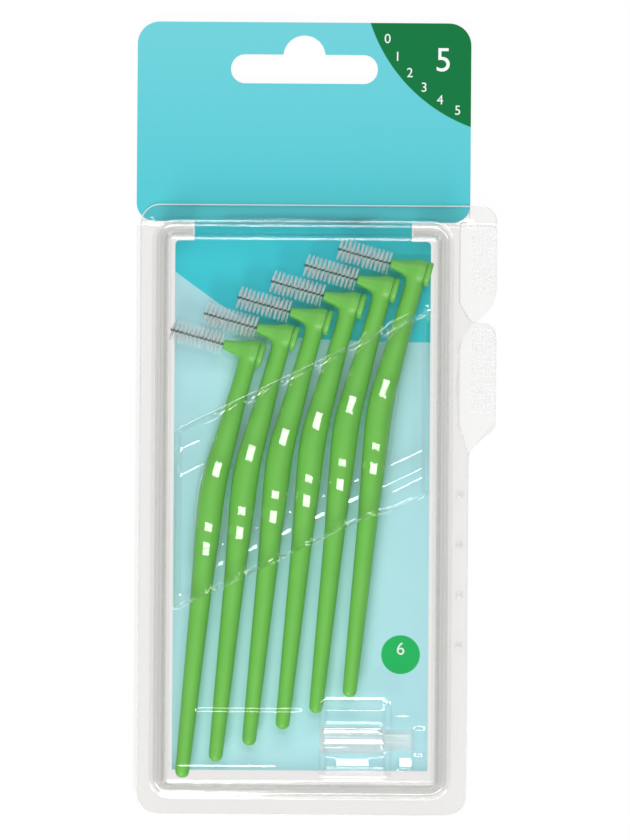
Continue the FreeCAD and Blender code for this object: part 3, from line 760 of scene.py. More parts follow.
BRISTLE_START = -6.6
BRISTLE_END = -18.35
BRISTLE_REACH = 2.72
BRISTLE_ROOT = 0.15
FILAMENTS = 720
FILAMENT_RADIUS = 0.045
FILAMENT_TIP = 0.024
FILAMENT_SPREAD = 0.42
FILAMENT_LEAN = 0.07
SHORTEST = 0.93


def bristle_mesh():
    """Tapered filaments that stand out from the wire in the twist's two-sided spiral."""
    pack = NodeTree("bristle_pack")
    count = pack.take("Filaments", FILAMENTS, "NodeSocketInt")
    start = pack.take("First filament", BRISTLE_START * MM)
    end = pack.take("Last filament", BRISTLE_END * MM)
    pitch = pack.take("Twist pitch", TWIST_PITCH * MM)
    reach = pack.take("Filament reach", (BRISTLE_REACH - BRISTLE_ROOT) * MM)
    root = pack.take("Filament root", BRISTLE_ROOT * MM)
    thick = pack.take("Filament radius", FILAMENT_RADIUS * MM)
    thin = pack.take("Tip radius", FILAMENT_TIP * MM)
    spread = pack.take("Spread", FILAMENT_SPREAD)
    seed = pack.take("Seed", 4, "NodeSocketInt")
    line = pack.add("GeometryNodeMeshLine", {"mode": "END_POINTS", "count_mode": "TOTAL"}, Count=count)
    pack.feed(line.inputs["Start Location"], pack.vector(start))
    pack.feed(line.inputs["Offset"], pack.vector(end))
    place = pack.add("ShaderNodeSeparateXYZ", Vector=pack.add("GeometryNodeInputPosition").outputs[0])
    turns = pack.math("DIVIDE", place.outputs[0], pack.math("MULTIPLY", pitch, -1.0))
    order = pack.add("GeometryNodeInputIndex").outputs[0]
    side = pack.math("MULTIPLY", pack.math("MODULO", order, 2.0), 0.5)
    angle = pack.math("MULTIPLY", pack.math("ADD", turns, side), 2 * math.pi)
    swing = pack.random(pack.math("MULTIPLY", spread, -1.0), spread, seed)
    angle = pack.math("ADD", angle, swing)
    lean = pack.random(-FILAMENT_LEAN, FILAMENT_LEAN, pack.math("ADD", seed, 1.0))
    towards = pack.vector(lean, pack.math("COSINE", angle), pack.math("SINE", angle))
    turn = pack.add("FunctionNodeAlignRotationToVector", {"axis": "Z"}, Vector=towards)
    cone = pack.add("GeometryNodeMeshCone", {"fill_type": "NGON"}, Vertices=5, Radius_Top=thin,
                    Radius_Bottom=thick, Depth=reach)
    rooted = pack.moved(cone, Translation=pack.vector(0.0, 0.0, root))
    stretch = pack.random(SHORTEST, 1.0, pack.math("ADD", seed, 2.0))
    size = pack.vector(1.0, 1.0, stretch)
    set_on = pack.copied(rooted, line, Rotation=turn.outputs[0], Scale=size)
    return soften(pack.made(set_on, NYLON), sharp_from=60)


def make_brushes():
    """The row of brushes: each piece is made once and copied to each brush's place."""
    masters = [("handle", handle_mesh(), "green_plastic"), ("plug", plug_mesh(), "green_plastic"),
               ("wire", wire_mesh(), "coated_wire"), ("bristles", bristle_mesh(), "nylon")]
    turn = Matrix.Rotation(math.radians(-NECK_TILT), 4, "Z")
    wire_middle = turn @ Vector(((WIRE_TIP + WIRE_END) / 2, 0, 0)) * MM
    for brush in range(1, BRUSHES + 1):
        low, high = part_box(f"brush_{brush}_wire")
        head = (low + high) / 2 - wire_middle
        for kind, master, slot in masters:
            mesh = master.copy()
            mesh.transform(Matrix.Translation(head) @ turn)
            put(f"brush_{brush}_{kind}_dressed", mesh, "tray", slot, f"brush_{brush}_{kind}")


# Protective cap

CAP_WALL = 0.4
CAP_NARROW = 2.35
CAP_WIDE_RUN = 14.7
CAP_SIDES = 48
MOUTH_STEP = 0.02


def make_cap():
    """The clear cap: a wide tube that steps down to a narrow closed end, with rounded edges."""
    length = cap_high.x - cap_low.x
    wide = (cap_high.z - cap_low.z) / 2
    bore = wide - CAP_WALL
    narrow_bore = CAP_NARROW - CAP_WALL
    # Place from the mouth, radius, rounding
    outside = fillet_line([(0, bore, 0), (0, wide, 0.15), (CAP_WIDE_RUN, wide, 0.5),
                           (CAP_WIDE_RUN, CAP_NARROW, 0.2), (length, CAP_NARROW, 0.7), (length, 0, 0)])
    inside = fillet_line([(length - CAP_WALL, 0, 0), (length - CAP_WALL, narrow_bore, 0.4),
                          (CAP_WIDE_RUN - CAP_WALL, narrow_bore, 0.2),
                          (CAP_WIDE_RUN - CAP_WALL, bore, 0.2), (MOUTH_STEP, bore, 0)])
    profile = [tuple(point) for point in outside[::-1] + inside[::-1]]
    mesh = soften(spun("cap", profile, CAP_SIDES, CAP_CLEAR), sharp_from=50)
    mouth = Vector((cap_low.x, (cap_low.y + cap_high.y) / 2, (cap_low.z + cap_high.z) / 2))
    mesh.transform(Matrix.Translation(mouth * MM))
    cap = put("protective_cap_dressed", mesh, "tray", "cap_plastic", "protective_cap")
    # Its many clear layers would otherwise shade the card grey
    cap.visible_shadow = False


# Front shell

ACROSS_STEPS = 138
CORNER_STEPS = 8
LEAST_ROUNDING = 0.4
# Wall of the two-step dome: how far in from the foot of the lower step, the height, the rounding
WALL_LINE = [(-0.8, FLANGE_TOP, 0), (0.0, FLANGE_TOP, 0.45), (0.4, STEP_TOP, 0.8), (2.5, STEP_TOP, 0),
             (3.4, DOME_TOP, 1.0), (4.4, DOME_TOP, 0)]
WALL_STEPS = 5
# Rows of the dome's top from its lower edge: how far up each run of rows goes, and their spacing. In the
# second list the rows follow the holding band's slant, and their places are along it.
LOW_ROWS = [(-76.7, 0.25), (-66.5, 0.36), (-61.2, 0.26)]
BAND_ROWS = [
    (-31.5, 0.2), (-27.4, 0.25), (-25.4, 0.16), (-24.6, 0.3), (-22.8, 0.16), (-20.8, 0.4), (-18.9, 0.16),
    (-17.5, 0.35), (-12.0, 0.5), (-4.5, 1.0), (-1.0, 0.5), (-0.2, 0.4), (1.2, 0.2), (5.5, 0.7), (6.9, 0.2),
    (9.8, 0.6), (11.6, 0.2),
]
PLAIN_ROWS = 9


def run_places(start, runs):
    """Places from a start through runs of even steps."""
    places = [start]
    for end, step in runs:
        count = max(round((end - places[-1]) / step), 1)
        first = places[-1]
        places += [first + (end - first) * (index + 1) / count for index in range(count)]
    return places


def row_ends():
    """Where each row of the dome's top starts at the left and ends at the right."""
    low, high = STEP_LOW + STEP_ROUNDING, STEP_HIGH - STEP_ROUNDING
    level = [(place, place) for place in run_places(low, LOW_ROWS)]
    slant = ROW_SLOPE * (STEP_HALF - WALL_LINE[-1][0])
    band = [(place - slant, place + slant) for place in run_places(BAND_ROWS[0][0], BAND_ROWS[1:])]

    def plain(first, last):
        shares = [step / PLAIN_ROWS for step in range(1, PLAIN_ROWS)]
        return [tuple(a + (b - a) * share for a, b in zip(first, last)) for share in shares]

    rows = level + plain(level[-1], band[0]) + band + plain(band[-1], (high, high)) + [(high, high)]
    return [[(row[side] - low) / (high - low) for row in rows] for side in (0, 1)]


def level_ring(inset, left_shares, right_shares):
    """Points round the dome at an inset, from the middle of its lower left corner."""
    half, low, high = STEP_HALF - inset, STEP_LOW + inset, STEP_HIGH - inset
    radius = max(STEP_ROUNDING - inset, LEAST_ROUNDING)
    corners = [(-half + radius, low + radius), (half - radius, low + radius),
               (half - radius, high - radius), (-half + radius, high - radius)]
    half_arc = CORNER_STEPS // 2
    ring = []
    for index in range(4):
        start = math.radians(225 + 90 * index)
        here, there = Vector(corners[index]), Vector(corners[(index + 1) % 4])
        for step in range(half_arc):
            angle = start + math.pi / 4 * step / half_arc
            ring.append(here + Vector((math.cos(angle), math.sin(angle))) * radius)
        out = Vector((math.cos(start + math.pi / 4), math.sin(start + math.pi / 4))) * radius
        shares = [step / ACROSS_STEPS for step in range(ACROSS_STEPS)]
        if index == 1:
            shares = right_shares[:-1]
        elif index == 3:
            shares = [1 - share for share in left_shares[:0:-1]]
        ring += [here.lerp(there, share) + out for share in shares]
        for step in range(half_arc):
            angle = start + math.pi / 4 * (1 + step / half_arc)
            ring.append(there + Vector((math.cos(angle), math.sin(angle))) * radius)
    return ring


def cover_level(y):
    """How far the flange is raised where it covers the card."""
    return COVER_RISE * ease(y, COVER_EDGE - COVER_RUN, COVER_EDGE + COVER_RUN)


# Holding band: lines of equal height run along the row's stagger
ROW_SLOPE = 0.489
BAND_UPPER = 10.4
BAND_LOWER = -28.6
BAND_HALF = 28.3
FILM_GAP = 0.6
# Slope of the film over a handle, by its place across the band, from the upper edge down
CREST_SLOPES = [
    (11.0, 0.0), (0.2, 0.0), (-0.5, -0.225), (-3.6, -0.225), (-4.8, 0.0), (-12.4, 0.0), (-13.2, 0.18),
    (-15.1, 0.18), (-15.7, 0.0), (-16.9, 0.0), (-17.4, 0.18), (-20.0, 0.18), (-20.7, 0.02), (-31.5, 0.02),
]
CREST_START = 7.22
VALLEY = 5.7
UPPER_RUN = 1.2
LOWER_RUN = 0.6
# Where the film changes from its left part to the middle, and from there to its right part, whose lower
# edge lies lower
LEFT_PART = (-24.0, -18.0)
RIGHT_PART = (14.5, 21.5)
RIGHT_DROP = 1.3
# Small steps of the film beside and between the handles: place across the band, rise downwards, run
LEFT_STEPS = [(6.2, 0.2, 0.9), (0.5, 0.2, 0.9), (-26.3, 0.11, 0.5)]
INNER_STEPS = [(-19.6, 0.165, 0.7), (-23.6, 0.26, 1.1)]
RIGHT_STEPS = [(-20.0, 0.12, 0.55), (-24.0, 0.1, 0.45), (-26.1, 0.15, 0.7)]


def crest_height(place):
    """Height of the film over a handle."""
    height = CREST_START
    for (start, first), (finish, second) in zip(CREST_SLOPES, CREST_SLOPES[1:]):
        run = min(max(start - place, 0), start - finish)
        last = first + (second - first) * run / (start - finish)
        height -= run * (first + last) / 2
    return height


def falling(place, at, width):
    """0 above a step of the film and 1 below it."""
    return 1 - ease(place, at - width / 2, at + width / 2)


def ramp(place, at, run):
    """0 above a small even slope of the film and 1 below it."""
    return min(max((at + run / 2 - place) / run, 0), 1)


def valley_height(x, place):
    """Height of the film between and beside the handles."""
    left = 1 - ease(x, *LEFT_PART)
    right = ease(x, *RIGHT_PART)
    lower_edge = BAND_LOWER - RIGHT_DROP * right
    down = falling(place, BAND_UPPER, UPPER_RUN) - falling(place, lower_edge, LOWER_RUN)
    height = DOME_TOP - (DOME_TOP - VALLEY) * down
    if place < lower_edge:
        return height
    for share, steps in ((left, LEFT_STEPS), (1 - left - right, INNER_STEPS), (right, RIGHT_STEPS)):
        height += share * sum(rise * ramp(place, at, run) for at, rise, run in steps)
    return min(height, DOME_TOP)


def brush_heads():
    """Where each brush's head is, in plan."""
    turn = Matrix.Rotation(math.radians(-NECK_TILT), 2)
    heads = []
    for brush in range(1, BRUSHES + 1):
        low, high = node_box(f"brush_{brush}_wire")
        heads.append(((low + high) / 2).xy - turn @ Vector(((WIRE_TIP + WIRE_END) / 2, 0)))
    return heads


HEADS = brush_heads()
TO_HANDLE = Matrix.Rotation(math.radians(NECK_TILT), 2)
FROM_HANDLE = Matrix.Rotation(math.radians(-NECK_TILT), 2)


# Sloping lip along the band's upper edge: its middle, its fall and its run
BAND_LIP = (11.1, 0.14, 0.7)
# How far the band's forms reach past its upper and lower edges, and the run at its two ends
UPPER_REACH = 1.0
LOWER_REACH = 2.5
BAND_END_RUN = 0.9
# Share of its radius over which the film hugs a handle, and how softly it leaves it
HUG_SHARE = 0.98
HUG_SOFTNESS = 0.35


def film_height(x, y):
    """Height of the dome's top where the holding band is pressed down onto the handles."""
    place = y - ROW_SLOPE * x
    if not BAND_LOWER - LOWER_REACH <= place <= BAND_UPPER + UPPER_REACH or abs(x) > BAND_HALF:
        return DOME_TOP
    height = valley_height(x, place)
    for head in HEADS:
        local = TO_HANDLE @ (Vector((x, y)) - head)
        drop = -local.y
        if not 0 < drop < TAIL_DROP:
            continue
        aside = local.x - sway(drop)
        if drop > BEND_DROP:
            aside *= math.cos(math.radians(BEND_ANGLE))
        radius = handle_radius(drop) + FILM_GAP
        if abs(aside) < radius * HUG_SHARE:
            axis = head + FROM_HANDLE @ Vector((sway(drop), -drop))
            crest = crest_height(axis.y - ROW_SLOPE * axis.x)
            hug = crest - radius + math.sqrt(radius * radius - aside * aside)
            height = soft_max(height, hug, HUG_SOFTNESS)
    if place > BAND_UPPER - UPPER_REACH:
        height -= BAND_LIP[1] * ramp(place, *BAND_LIP[::2]) * (height - VALLEY) / (DOME_TOP - VALLEY)
    inwards = ease(BAND_HALF - abs(x), 0, BAND_END_RUN)
    return DOME_TOP - (DOME_TOP - height) * inwards


# Forms pressed into the lower end of the dome: middle, half size, depth, run of the ends and of the sides
RECESS = ((12.35, -71.45), (7.9, 8.65), 2.6, 2.3, 1.3)
# Sloping lips along the recess's upper and lower edges: where each starts, and its slope
LIP_RUN = 0.9
LIP_SIDE_RUN = 1.5
UPPER_LIP = (-61.9, 0.134)
LOWER_LIP = (-80.75, 0.245)
# Gently sloping faces pressed below the cap: middle and half width, upper edge and run
FACES = [(11.7, 4.2, -75.6, 2.3), (23.5, 1.9, -75.3, 2.6)]
FACE_SLOPE = 0.123
FACE_END_RUN = 0.6
FACE_SIDE_RUN = 0.7
TIP_RECESS = ((22.9, -73.2), (2.6, 7.4), 0.1, 1.0, 1.2)
END_STOP = ((26.6, -71.95), (1.25, 3.3), 0.3, 0.6, 0.5)
PLATE = ((-13.8, -71.35), (13.3, 6.75), 0.22, 1.05, 3.0)
PLATE_SLANT = 0.39
BUBBLE_GAP = 0.65
BUBBLE_ENDS = (3.6, 19.6)
BUBBLE_SIDE = 0.6
BUBBLE_SOFTNESS = 0.3
# All of the bubble lies to the right of this
BUBBLE_LEFT = 1.0
# Slopes of the bubble's roof: where each starts across it, how far it has fallen there, and the slope
ROOF = [(0.56, 0.0, -0.126), (-1.2, 0.22, -0.6), (1.5, 0.0, 0.25)]


def pressed(x, y, form):
    """How deep a pressed form is at a place."""
    middle, half, depth, end_run, side_run = form
    along = ease(half[1] - abs(y - middle[1]), 0, end_run)
    across = ease(half[0] - abs(x - middle[0]), 0, side_run)
    return depth * along * across


def bubble_height(x, y):
    """Height of the bubble over the cap: a low roof with rounded sides and ends."""
    radius = (cap_high.z - cap_low.z) / 2 + BUBBLE_GAP
    past = max(BUBBLE_ENDS[0] + radius / 2 - x, x - BUBBLE_ENDS[1] + radius / 2, 0) * 2
    aside = y - (cap_low.y + cap_high.y) / 2
    square = (radius + BUBBLE_SIDE) ** 2 - aside**2 - past**2
    fall = max(0, *(base + slope * (aside - start) for start, base, slope in ROOF))
    return (cap_low.z + cap_high.z) / 2 + min(radius - fall, math.sqrt(max(square, 0)))


def lip_depth(x, y):
    """How far the lips and sloping faces of the lower end lie below the dome's top."""
    inside = ease(RECESS[1][0] - abs(x - RECESS[0][0]), 0, LIP_SIDE_RUN)
    upper = UPPER_LIP[1] * min(UPPER_LIP[0] - y, LIP_RUN)
    depth = inside * min(upper, LOWER_LIP[1] * max(y - LOWER_LIP[0], 0))
    for middle, half, edge, run in FACES:
        fall = FACE_SLOPE * min(max(edge - y, 0), run) * (1 - ease(edge - run - y, 0, FACE_END_RUN))
        depth += fall * ease(half - abs(x - middle), 0, FACE_SIDE_RUN)
    return depth


def dome_height(x, y):
    """Height of the dome's top face."""
    height = film_height(x, y)
    if y < UPPER_LIP[0]:
        plate = pressed(x - PLATE_SLANT * (y - PLATE[0][1]), y, PLATE)
        deepest = max(plate, *(pressed(x, y, form) for form in (RECESS, TIP_RECESS, END_STOP)))
        floor = DOME_TOP - deepest - lip_depth(x, y)
        if x <= BUBBLE_LEFT:
            return floor
        height = min(soft_max(floor, bubble_height(x, y), BUBBLE_SOFTNESS), DOME_TOP)
    return height


FLANGE_OUTLINE = [
    (SHELL_LEFT, SHELL_LOW, FLANGE_ROUNDING),
    (SHELL_HALF, SHELL_LOW, FLANGE_ROUNDING),
    (SHELL_HALF, -7.4, 4.0),
    (CUT_EDGE, -1.0, 4.0),
    (CUT_EDGE, 19.0, 9.0),
    (TAB_EDGE, 25.8, 9.0),
    (TAB_EDGE, SHELL_HIGH, 3.5),
    (SHELL_LEFT, SHELL_HIGH, FLANGE_ROUNDING),
]


OUTLINE_STEPS = 10
RIM_WIDTH = 0.2
RIM_DROP = 0.12


def cut_rim(work, points, height):
    """The bevelled cut edge along an outline. Returns its inner ring of vertices and its faces."""
    count = len(points)
    outer, inner = [], []
    for index, point in enumerate(points):
        along = (points[(index + 1) % count] - points[index - 1]).normalized()
        inside = point + Vector((-along.y, along.x)) * RIM_WIDTH
        outer.append(work.verts.new(Vector((point.x, point.y, height - RIM_DROP)) * MM))
        inner.append(work.verts.new(Vector((inside.x, inside.y, height)) * MM))
    faces = bridge(work, outer, inner)
    for face in faces:
        face.material_index = 1
    return inner, faces


def filled_flat(work, outline, hole):
    """Fill the flat between an outline and a ring of vertices, both in one bmesh."""
    edges = edge_loop(work, outline) + edge_loop(work, hole)
    return bmesh.ops.triangle_fill(work, use_beauty=True, edges=edges)["geom"]


def make_front_shell():
    """The clear front: flange and tab, two-step wall and the top with its holding band."""
    work = bmesh.new()
    rings = []
    left_shares, right_shares = row_ends()
    for inset, height in fillet_line(WALL_LINE, WALL_STEPS):
        ring = []
        for point in level_ring(inset, left_shares, right_shares):
            raised = height
            if height < STEP_TOP:
                share = (STEP_TOP - height) / (STEP_TOP - FLANGE_TOP)
                raised = height + cover_level(point.y) * share
            ring.append(work.verts.new(Vector((point.x, point.y, raised)) * MM))
        rings.append(ring)
    for lower, upper in zip(rings, rings[1:]):
        bridge(work, lower, upper)
    top = top_grid(work, rings[-1], len(left_shares) - 1)
    for row, next_row in zip(top, top[1:]):
        for index in range(len(row) - 1):
            work.faces.new((row[index], row[index + 1], next_row[index + 1], next_row[index]))
    outline, rim = cut_rim(work, rounded(FLANGE_OUTLINE, OUTLINE_STEPS), FLANGE_TOP)
    flat = filled_flat(work, outline, rings[0])
    level_flange(work, flat + rim, set(rings[0]))
    mesh = sheet_mesh("front_sheet", work)
    put("front_shell_dressed", mesh, "lid", "clear_plastic", "front_shell")


def top_grid(work, ring, row_steps):
    """Vertices of the dome's top, in rows from its lower edge, with the ring as their border."""
    across = ACROSS_STEPS + CORNER_STEPS
    along = row_steps + CORNER_STEPS
    lower = ring[:across + 1]
    right = ring[across:across + along + 1]
    upper = ring[across + along:2 * across + along + 1][::-1]
    left = (ring[2 * across + along:] + ring[:1])[::-1]
    rows = [lower]
    for row in range(1, along):
        v = row / along
        line = [left[row]]
        for column in range(1, across):
            u = column / across
            sides = (lower[column].co * (1 - v) + upper[column].co * v
                     + left[row].co * (1 - u) + right[row].co * u)
            point = (sides - lower[0].co * (1 - u) * (1 - v) - lower[-1].co * u * (1 - v)
                     - upper[0].co * (1 - u) * v - upper[-1].co * u * v)
            point.z = dome_height(point.x / MM, point.y / MM) * MM
            line.append(work.verts.new(point))
        line.append(right[row])
        rows.append(line)
    rows.append(upper)
    return rows


def level_flange(work, flat, foot):
    """Raise the part of the flange that lies over the card, with a short slope before it."""
    geometry = [item for item in flat if item.is_valid]
    for offset in COVER_CUTS:
        faces = [item for item in geometry if isinstance(item, bmesh.types.BMFace) and item.is_valid]
        edges = {edge for face in faces for edge in face.edges}
        corners = {corner for face in faces for corner in face.verts}
        cut = bmesh.ops.bisect_plane(work, geom=list(corners) + list(edges) + faces, dist=WELD,
                                     plane_co=(0, (COVER_EDGE + offset) * MM, 0), plane_no=(0, 1, 0))
        geometry = cut["geom"]
    corners = {corner for item in geometry if isinstance(item, bmesh.types.BMFace) for corner in item.verts}
    for corner in corners - foot:
        corner.co.z += cover_level(corner.co.y / MM) * MM


CURL_RANGE = (0.3, 0.9)
SHARP_TURN = math.radians(60)
LEAST_AREA = 1e-12


def sheet_mesh(name, work):
    """A formed sheet from its upper surface, given its thickness downwards."""
    bmesh.ops.remove_doubles(work, verts=work.verts, dist=WELD)
    bmesh.ops.recalc_face_normals(work, faces=work.faces)
    if sum(face.normal.z * face.calc_area() for face in work.faces) < 0:
        bmesh.ops.reverse_faces(work, faces=work.faces)
    mesh = bpy.data.meshes.new(name)
    work.to_mesh(mesh)
    work.free()
    mesh.materials.append(SHELL_CLEAR)
    mesh.materials.append(CUT_EDGE_FROST)
    maker = maker_object(mesh)
    wall = maker.modifiers.new("wall", "SOLIDIFY")
    wall.thickness = SHEET * MM
    wall.offset = -1
    return part_rim(soften(mark_curl(settled(maker)), sharp_from=60))


def part_rim(mesh):
    """Keep the flat sheet and its cut edge apart in shading."""
    work = bmesh.new()
    work.from_mesh(mesh)
    for edge in work.edges:
        if len({face.material_index for face in edge.link_faces}) > 1:
            edge.smooth = False
    work.to_mesh(mesh)
    work.free()
    return mesh


def mark_curl(mesh):
    """Store how tightly the sheet is bent at each face, from its turn against the faces beside it."""
    work = bmesh.new()
    work.from_mesh(mesh)
    values = []
    for face in work.faces:
        turns = 0.0
        for edge in face.edges:
            turn = edge.calc_face_angle(0)
            if turn < SHARP_TURN:
                turns += turn * edge.calc_length() / 2
        values.append(ease(turns / max(face.calc_area(), LEAST_AREA) * MM, *CURL_RANGE))
    work.free()
    curl = mesh.attributes.new(CURL, "FLOAT", "FACE")
    curl.data.foreach_set("value", values)
    return mesh


# Rear shell

NEST_GAP = 1.2
RIDGE_HALF = STEP_HALF - NEST_GAP
RIDGE_LOW = STEP_LOW + NEST_GAP
RIDGE_HIGH = STEP_HIGH - NEST_GAP
RIDGE_WIDTH = 1.7
RIDGE_ROUNDING = 3.3
STUB_EDGE = 24.7
STUB_ROUNDING = 0.75
LEAST_STUB_ROUNDING = 0.05
REAR_TOP = CAD_WALL
RIDGE_TOP = 4.2
RIDGE_LINE = [(-0.7, REAR_TOP, 0), (0.0, REAR_TOP, 0.35), (0.1, RIDGE_TOP, 0.45), (0.7, RIDGE_TOP, 0)]
HEADER_LOW = STEP_HIGH + 0.1
REAR_OUTLINE = [
    (SHELL_LEFT, SHELL_LOW, FLANGE_ROUNDING),
    (SHELL_HALF, SHELL_LOW, FLANGE_ROUNDING),
    (SHELL_HALF, -7.2, 4.0),
    (TAB_EDGE, -1.7, 3.5),
    (TAB_EDGE, 22.0, 3.5),
    (37.9, 22.0, 2.0),
    (CUT_EDGE, 26.2, 3.0),
    (CUT_EDGE, HEADER_LOW, 0.5),
    (SHELL_HALF, HEADER_LOW, 0.5),
    (SHELL_HALF, SHELL_HIGH, 0.8),
    (SHELL_LEFT, SHELL_HIGH, FLANGE_ROUNDING),
]


def ridge_ring(inset):
    """The U of the nesting ridge, with its two stubs at the top, pulled in by an inset."""
    outer, inner = RIDGE_HALF - inset, RIDGE_HALF - RIDGE_WIDTH + inset
    low, high = RIDGE_LOW + inset, RIDGE_HIGH - inset
    inner_low, inner_high = RIDGE_LOW + RIDGE_WIDTH - inset, RIDGE_HIGH - RIDGE_WIDTH + inset
    stub = STUB_EDGE + inset
    radius, inner_radius = RIDGE_ROUNDING - inset, RIDGE_ROUNDING - RIDGE_WIDTH + inset
    end_radius = max(STUB_ROUNDING - inset, LEAST_STUB_ROUNDING)
    right = [(outer, low, radius), (outer, high, radius), (stub, high, end_radius),
             (stub, inner_high, end_radius), (inner, inner_high, inner_radius),
             (inner, inner_low, inner_radius)]
    left = [(-x, y, r) for x, y, r in reversed(right)]
    return rounded(right + left, steps=8)


def make_rear_shell():
    """The clear back: flat sheet with its tab and the hollow nesting ridge."""
    work = bmesh.new()
    rings = []
    for inset, height in fillet_line(RIDGE_LINE):
        places = [Vector((point.x, point.y, height)) * MM for point in ridge_ring(inset)]
        rings.append([work.verts.new(place) for place in places])
    for lower, upper in zip(rings, rings[1:]):
        bridge(work, lower, upper)
    bmesh.ops.triangle_fill(work, use_beauty=True, edges=edge_loop(work, rings[-1]))
    outline, _ = cut_rim(work, rounded(REAR_OUTLINE, OUTLINE_STEPS), REAR_TOP)
    filled_flat(work, outline, rings[0])
    put("rear_shell_dressed", sheet_mesh("rear_sheet", work), "tray", "clear_plastic", "rear_shell")


# Grip dots and snaps

# Rectangles of the dots on the two tabs, by their lowest and highest corners
FRONT_GRIP = ((38.3, 28.5), (42.9, 43.0))
REAR_GRIP = ((38.3, 2.0), (42.9, 20.5))
DOT_PITCH = 1.0
DOT_RADIUS = 0.38
DOT_RISE = 0.06
DOT_JITTER = 0.18


def dots_mesh(name, low, high, height, seed):
    """Small raised dots in uneven rows over a rectangle of a tab."""
    dots = NodeTree(name)
    columns = round((high[0] - low[0]) / DOT_PITCH) + 1
    rows = round((high[1] - low[1]) / DOT_PITCH) + 1
    dot_radius = dots.take("Dot radius", DOT_RADIUS * MM)
    jitter = dots.take("Jitter", DOT_JITTER * DOT_PITCH * MM)
    seed_socket = dots.take("Seed", seed, "NodeSocketInt")
    across = dots.take("Columns", columns, "NodeSocketInt")
    along = dots.take("Rows", rows, "NodeSocketInt")
    width = dots.take("Width", (high[0] - low[0]) * MM)
    length = dots.take("Length", (high[1] - low[1]) * MM)
    grid = dots.add("GeometryNodeMeshGrid", Size_X=width, Size_Y=length, Vertices_X=across,
                    Vertices_Y=along)
    back = dots.math("MULTIPLY", jitter, -1.0)
    shift = dots.vector(dots.random(back, jitter, seed_socket),
                        dots.random(back, jitter, dots.math("ADD", seed_socket, 1.0)))
    places = dots.add("GeometryNodeSetPosition", Geometry=grid.outputs[0], Offset=shift)
    ball = dots.add("GeometryNodeMeshUVSphere", Segments=7, Rings=4, Radius=dot_radius)
    flat = dots.moved(ball, Scale=(1, 1, DOT_RISE / DOT_RADIUS))
    set_on = dots.copied(flat, places)
    middle = Vector(((low[0] + high[0]) / 2, (low[1] + high[1]) / 2, height)) * MM
    laid = dots.moved(set_on, Translation=middle)
    return soften(dots.made(laid, CUT_EDGE_FROST), sharp_from=80)


def make_tab_grip():
    """The fine dots that roughen both finger tabs."""
    front = dots_mesh("front_tab_dots", *FRONT_GRIP, FLANGE_TOP, seed=3)
    put("front_tab_grip", front, "lid", "clear_plastic")
    rear = dots_mesh("rear_tab_dots", *REAR_GRIP, REAR_TOP, seed=9)
    put("rear_tab_grip", rear, "tray", "clear_plastic")


SNAP_PLACE = (SHELL_HALF - 1.9, -50.579)
SNAP_STEP = 11.3
SNAPS = 4
# Radius at the foot, radius of the crown, rise
DIMPLE = (1.0, 0.7, 0.55)
STUD = (0.5, 0.4, 0.03)


def snaps_mesh(name, height, foot, crown, rise):
    """The row of snaps along the right flange, as low rounded cones."""
    row = NodeTree(name)
    count = row.take("Snaps", SNAPS, "NodeSocketInt")
    step = row.take("Step", SNAP_STEP * MM)
    first = row.take("First place", Vector((*SNAP_PLACE, height)) * MM, "NodeSocketVector")
    foot_radius = row.take("Foot radius", foot * MM)
    crown_radius = row.take("Crown radius", crown * MM)
    tall = row.take("Rise", rise * MM)
    line = row.add("GeometryNodeMeshLine", {"mode": "OFFSET"}, Count=count)
    row.feed(line.inputs["Start Location"], first)
    row.feed(line.inputs["Offset"], row.vector(0.0, step))
    cone = row.add("GeometryNodeMeshCone", {"fill_type": "NGON"}, Vertices=20, Radius_Top=crown_radius,
                   Radius_Bottom=foot_radius, Depth=tall)
    set_on = row.copied(cone, line)
    return soften(row.made(set_on, SHELL_CLEAR), sharp_from=80)


def make_snaps():
    """The dimples of the front flange and the studs of the back that they snap over."""
    put("snap_dimples", snaps_mesh("snap_dimples", FLANGE_TOP, *DIMPLE), "lid", "clear_plastic")
    put("snap_studs", snaps_mesh("snap_studs", REAR_TOP, *STUD), "tray", "clear_plastic")


# Card and print

INK_HALF = 0.01
INK_LIFT = 0.012


def number_mesh(text, middle, size):
    """A plain number as a thin layer of ink on the card, about a middle point."""
    words = bpy.data.curves.new("number", "FONT")
    words.body = text
    words.size = size * MM
    words.align_x = "CENTER"
    words.align_y = "CENTER"
    words.extrude = INK_HALF * MM
    words.materials.append(WHITE_INK)
    mesh = settled(maker_object(words))
    mesh.transform(Matrix.Translation(Vector((*middle, card_high.z + INK_LIFT)) * MM))
    return mesh


DIAL_RADIUS = 35.0
DIAL_FIRST = 206.0
DIAL_STEP = 7.5
DIAL_NUMBERS = 6
DIAL_NUMBER_SIZE = 3.0
# Middle and size of the two single numbers
SIZE_NUMBER = ((31.2, 80.6), 7.6)
BADGE_NUMBER = ((BADGE_CENTRE[0], BADGE_CENTRE[1] + 1.2), 4.0)


def refinish(name, material):
    """A node of the frame keeps its shape and takes a finish."""
    materials = nodes[name].data.materials
    materials.clear()
    materials.append(material)


def make_card():
    """The card's finish, and the plain numbers of its dial and badge."""
    refinish("printed_card", BOARD)
    for number in range(DIAL_NUMBERS):
        angle = math.radians(DIAL_FIRST + DIAL_STEP * number)
        middle = (CORNER_CENTRE[0] + DIAL_RADIUS * math.cos(angle),
                  CORNER_CENTRE[1] + DIAL_RADIUS * math.sin(angle))
        mesh = number_mesh(str(number), middle, DIAL_NUMBER_SIZE)
        put(f"dial_number_{number}", mesh, "tray", "card")
    put("size_number", number_mesh("5", *SIZE_NUMBER), "tray", "card")
    put("badge_number", number_mesh("6", *BADGE_NUMBER), "tray", "card")


def make_hinge():
    """The folded bead keeps its shape and takes the shells' finish."""
    refinish("living_hinge", SHELL_CLEAR)


# Floor, light and camera

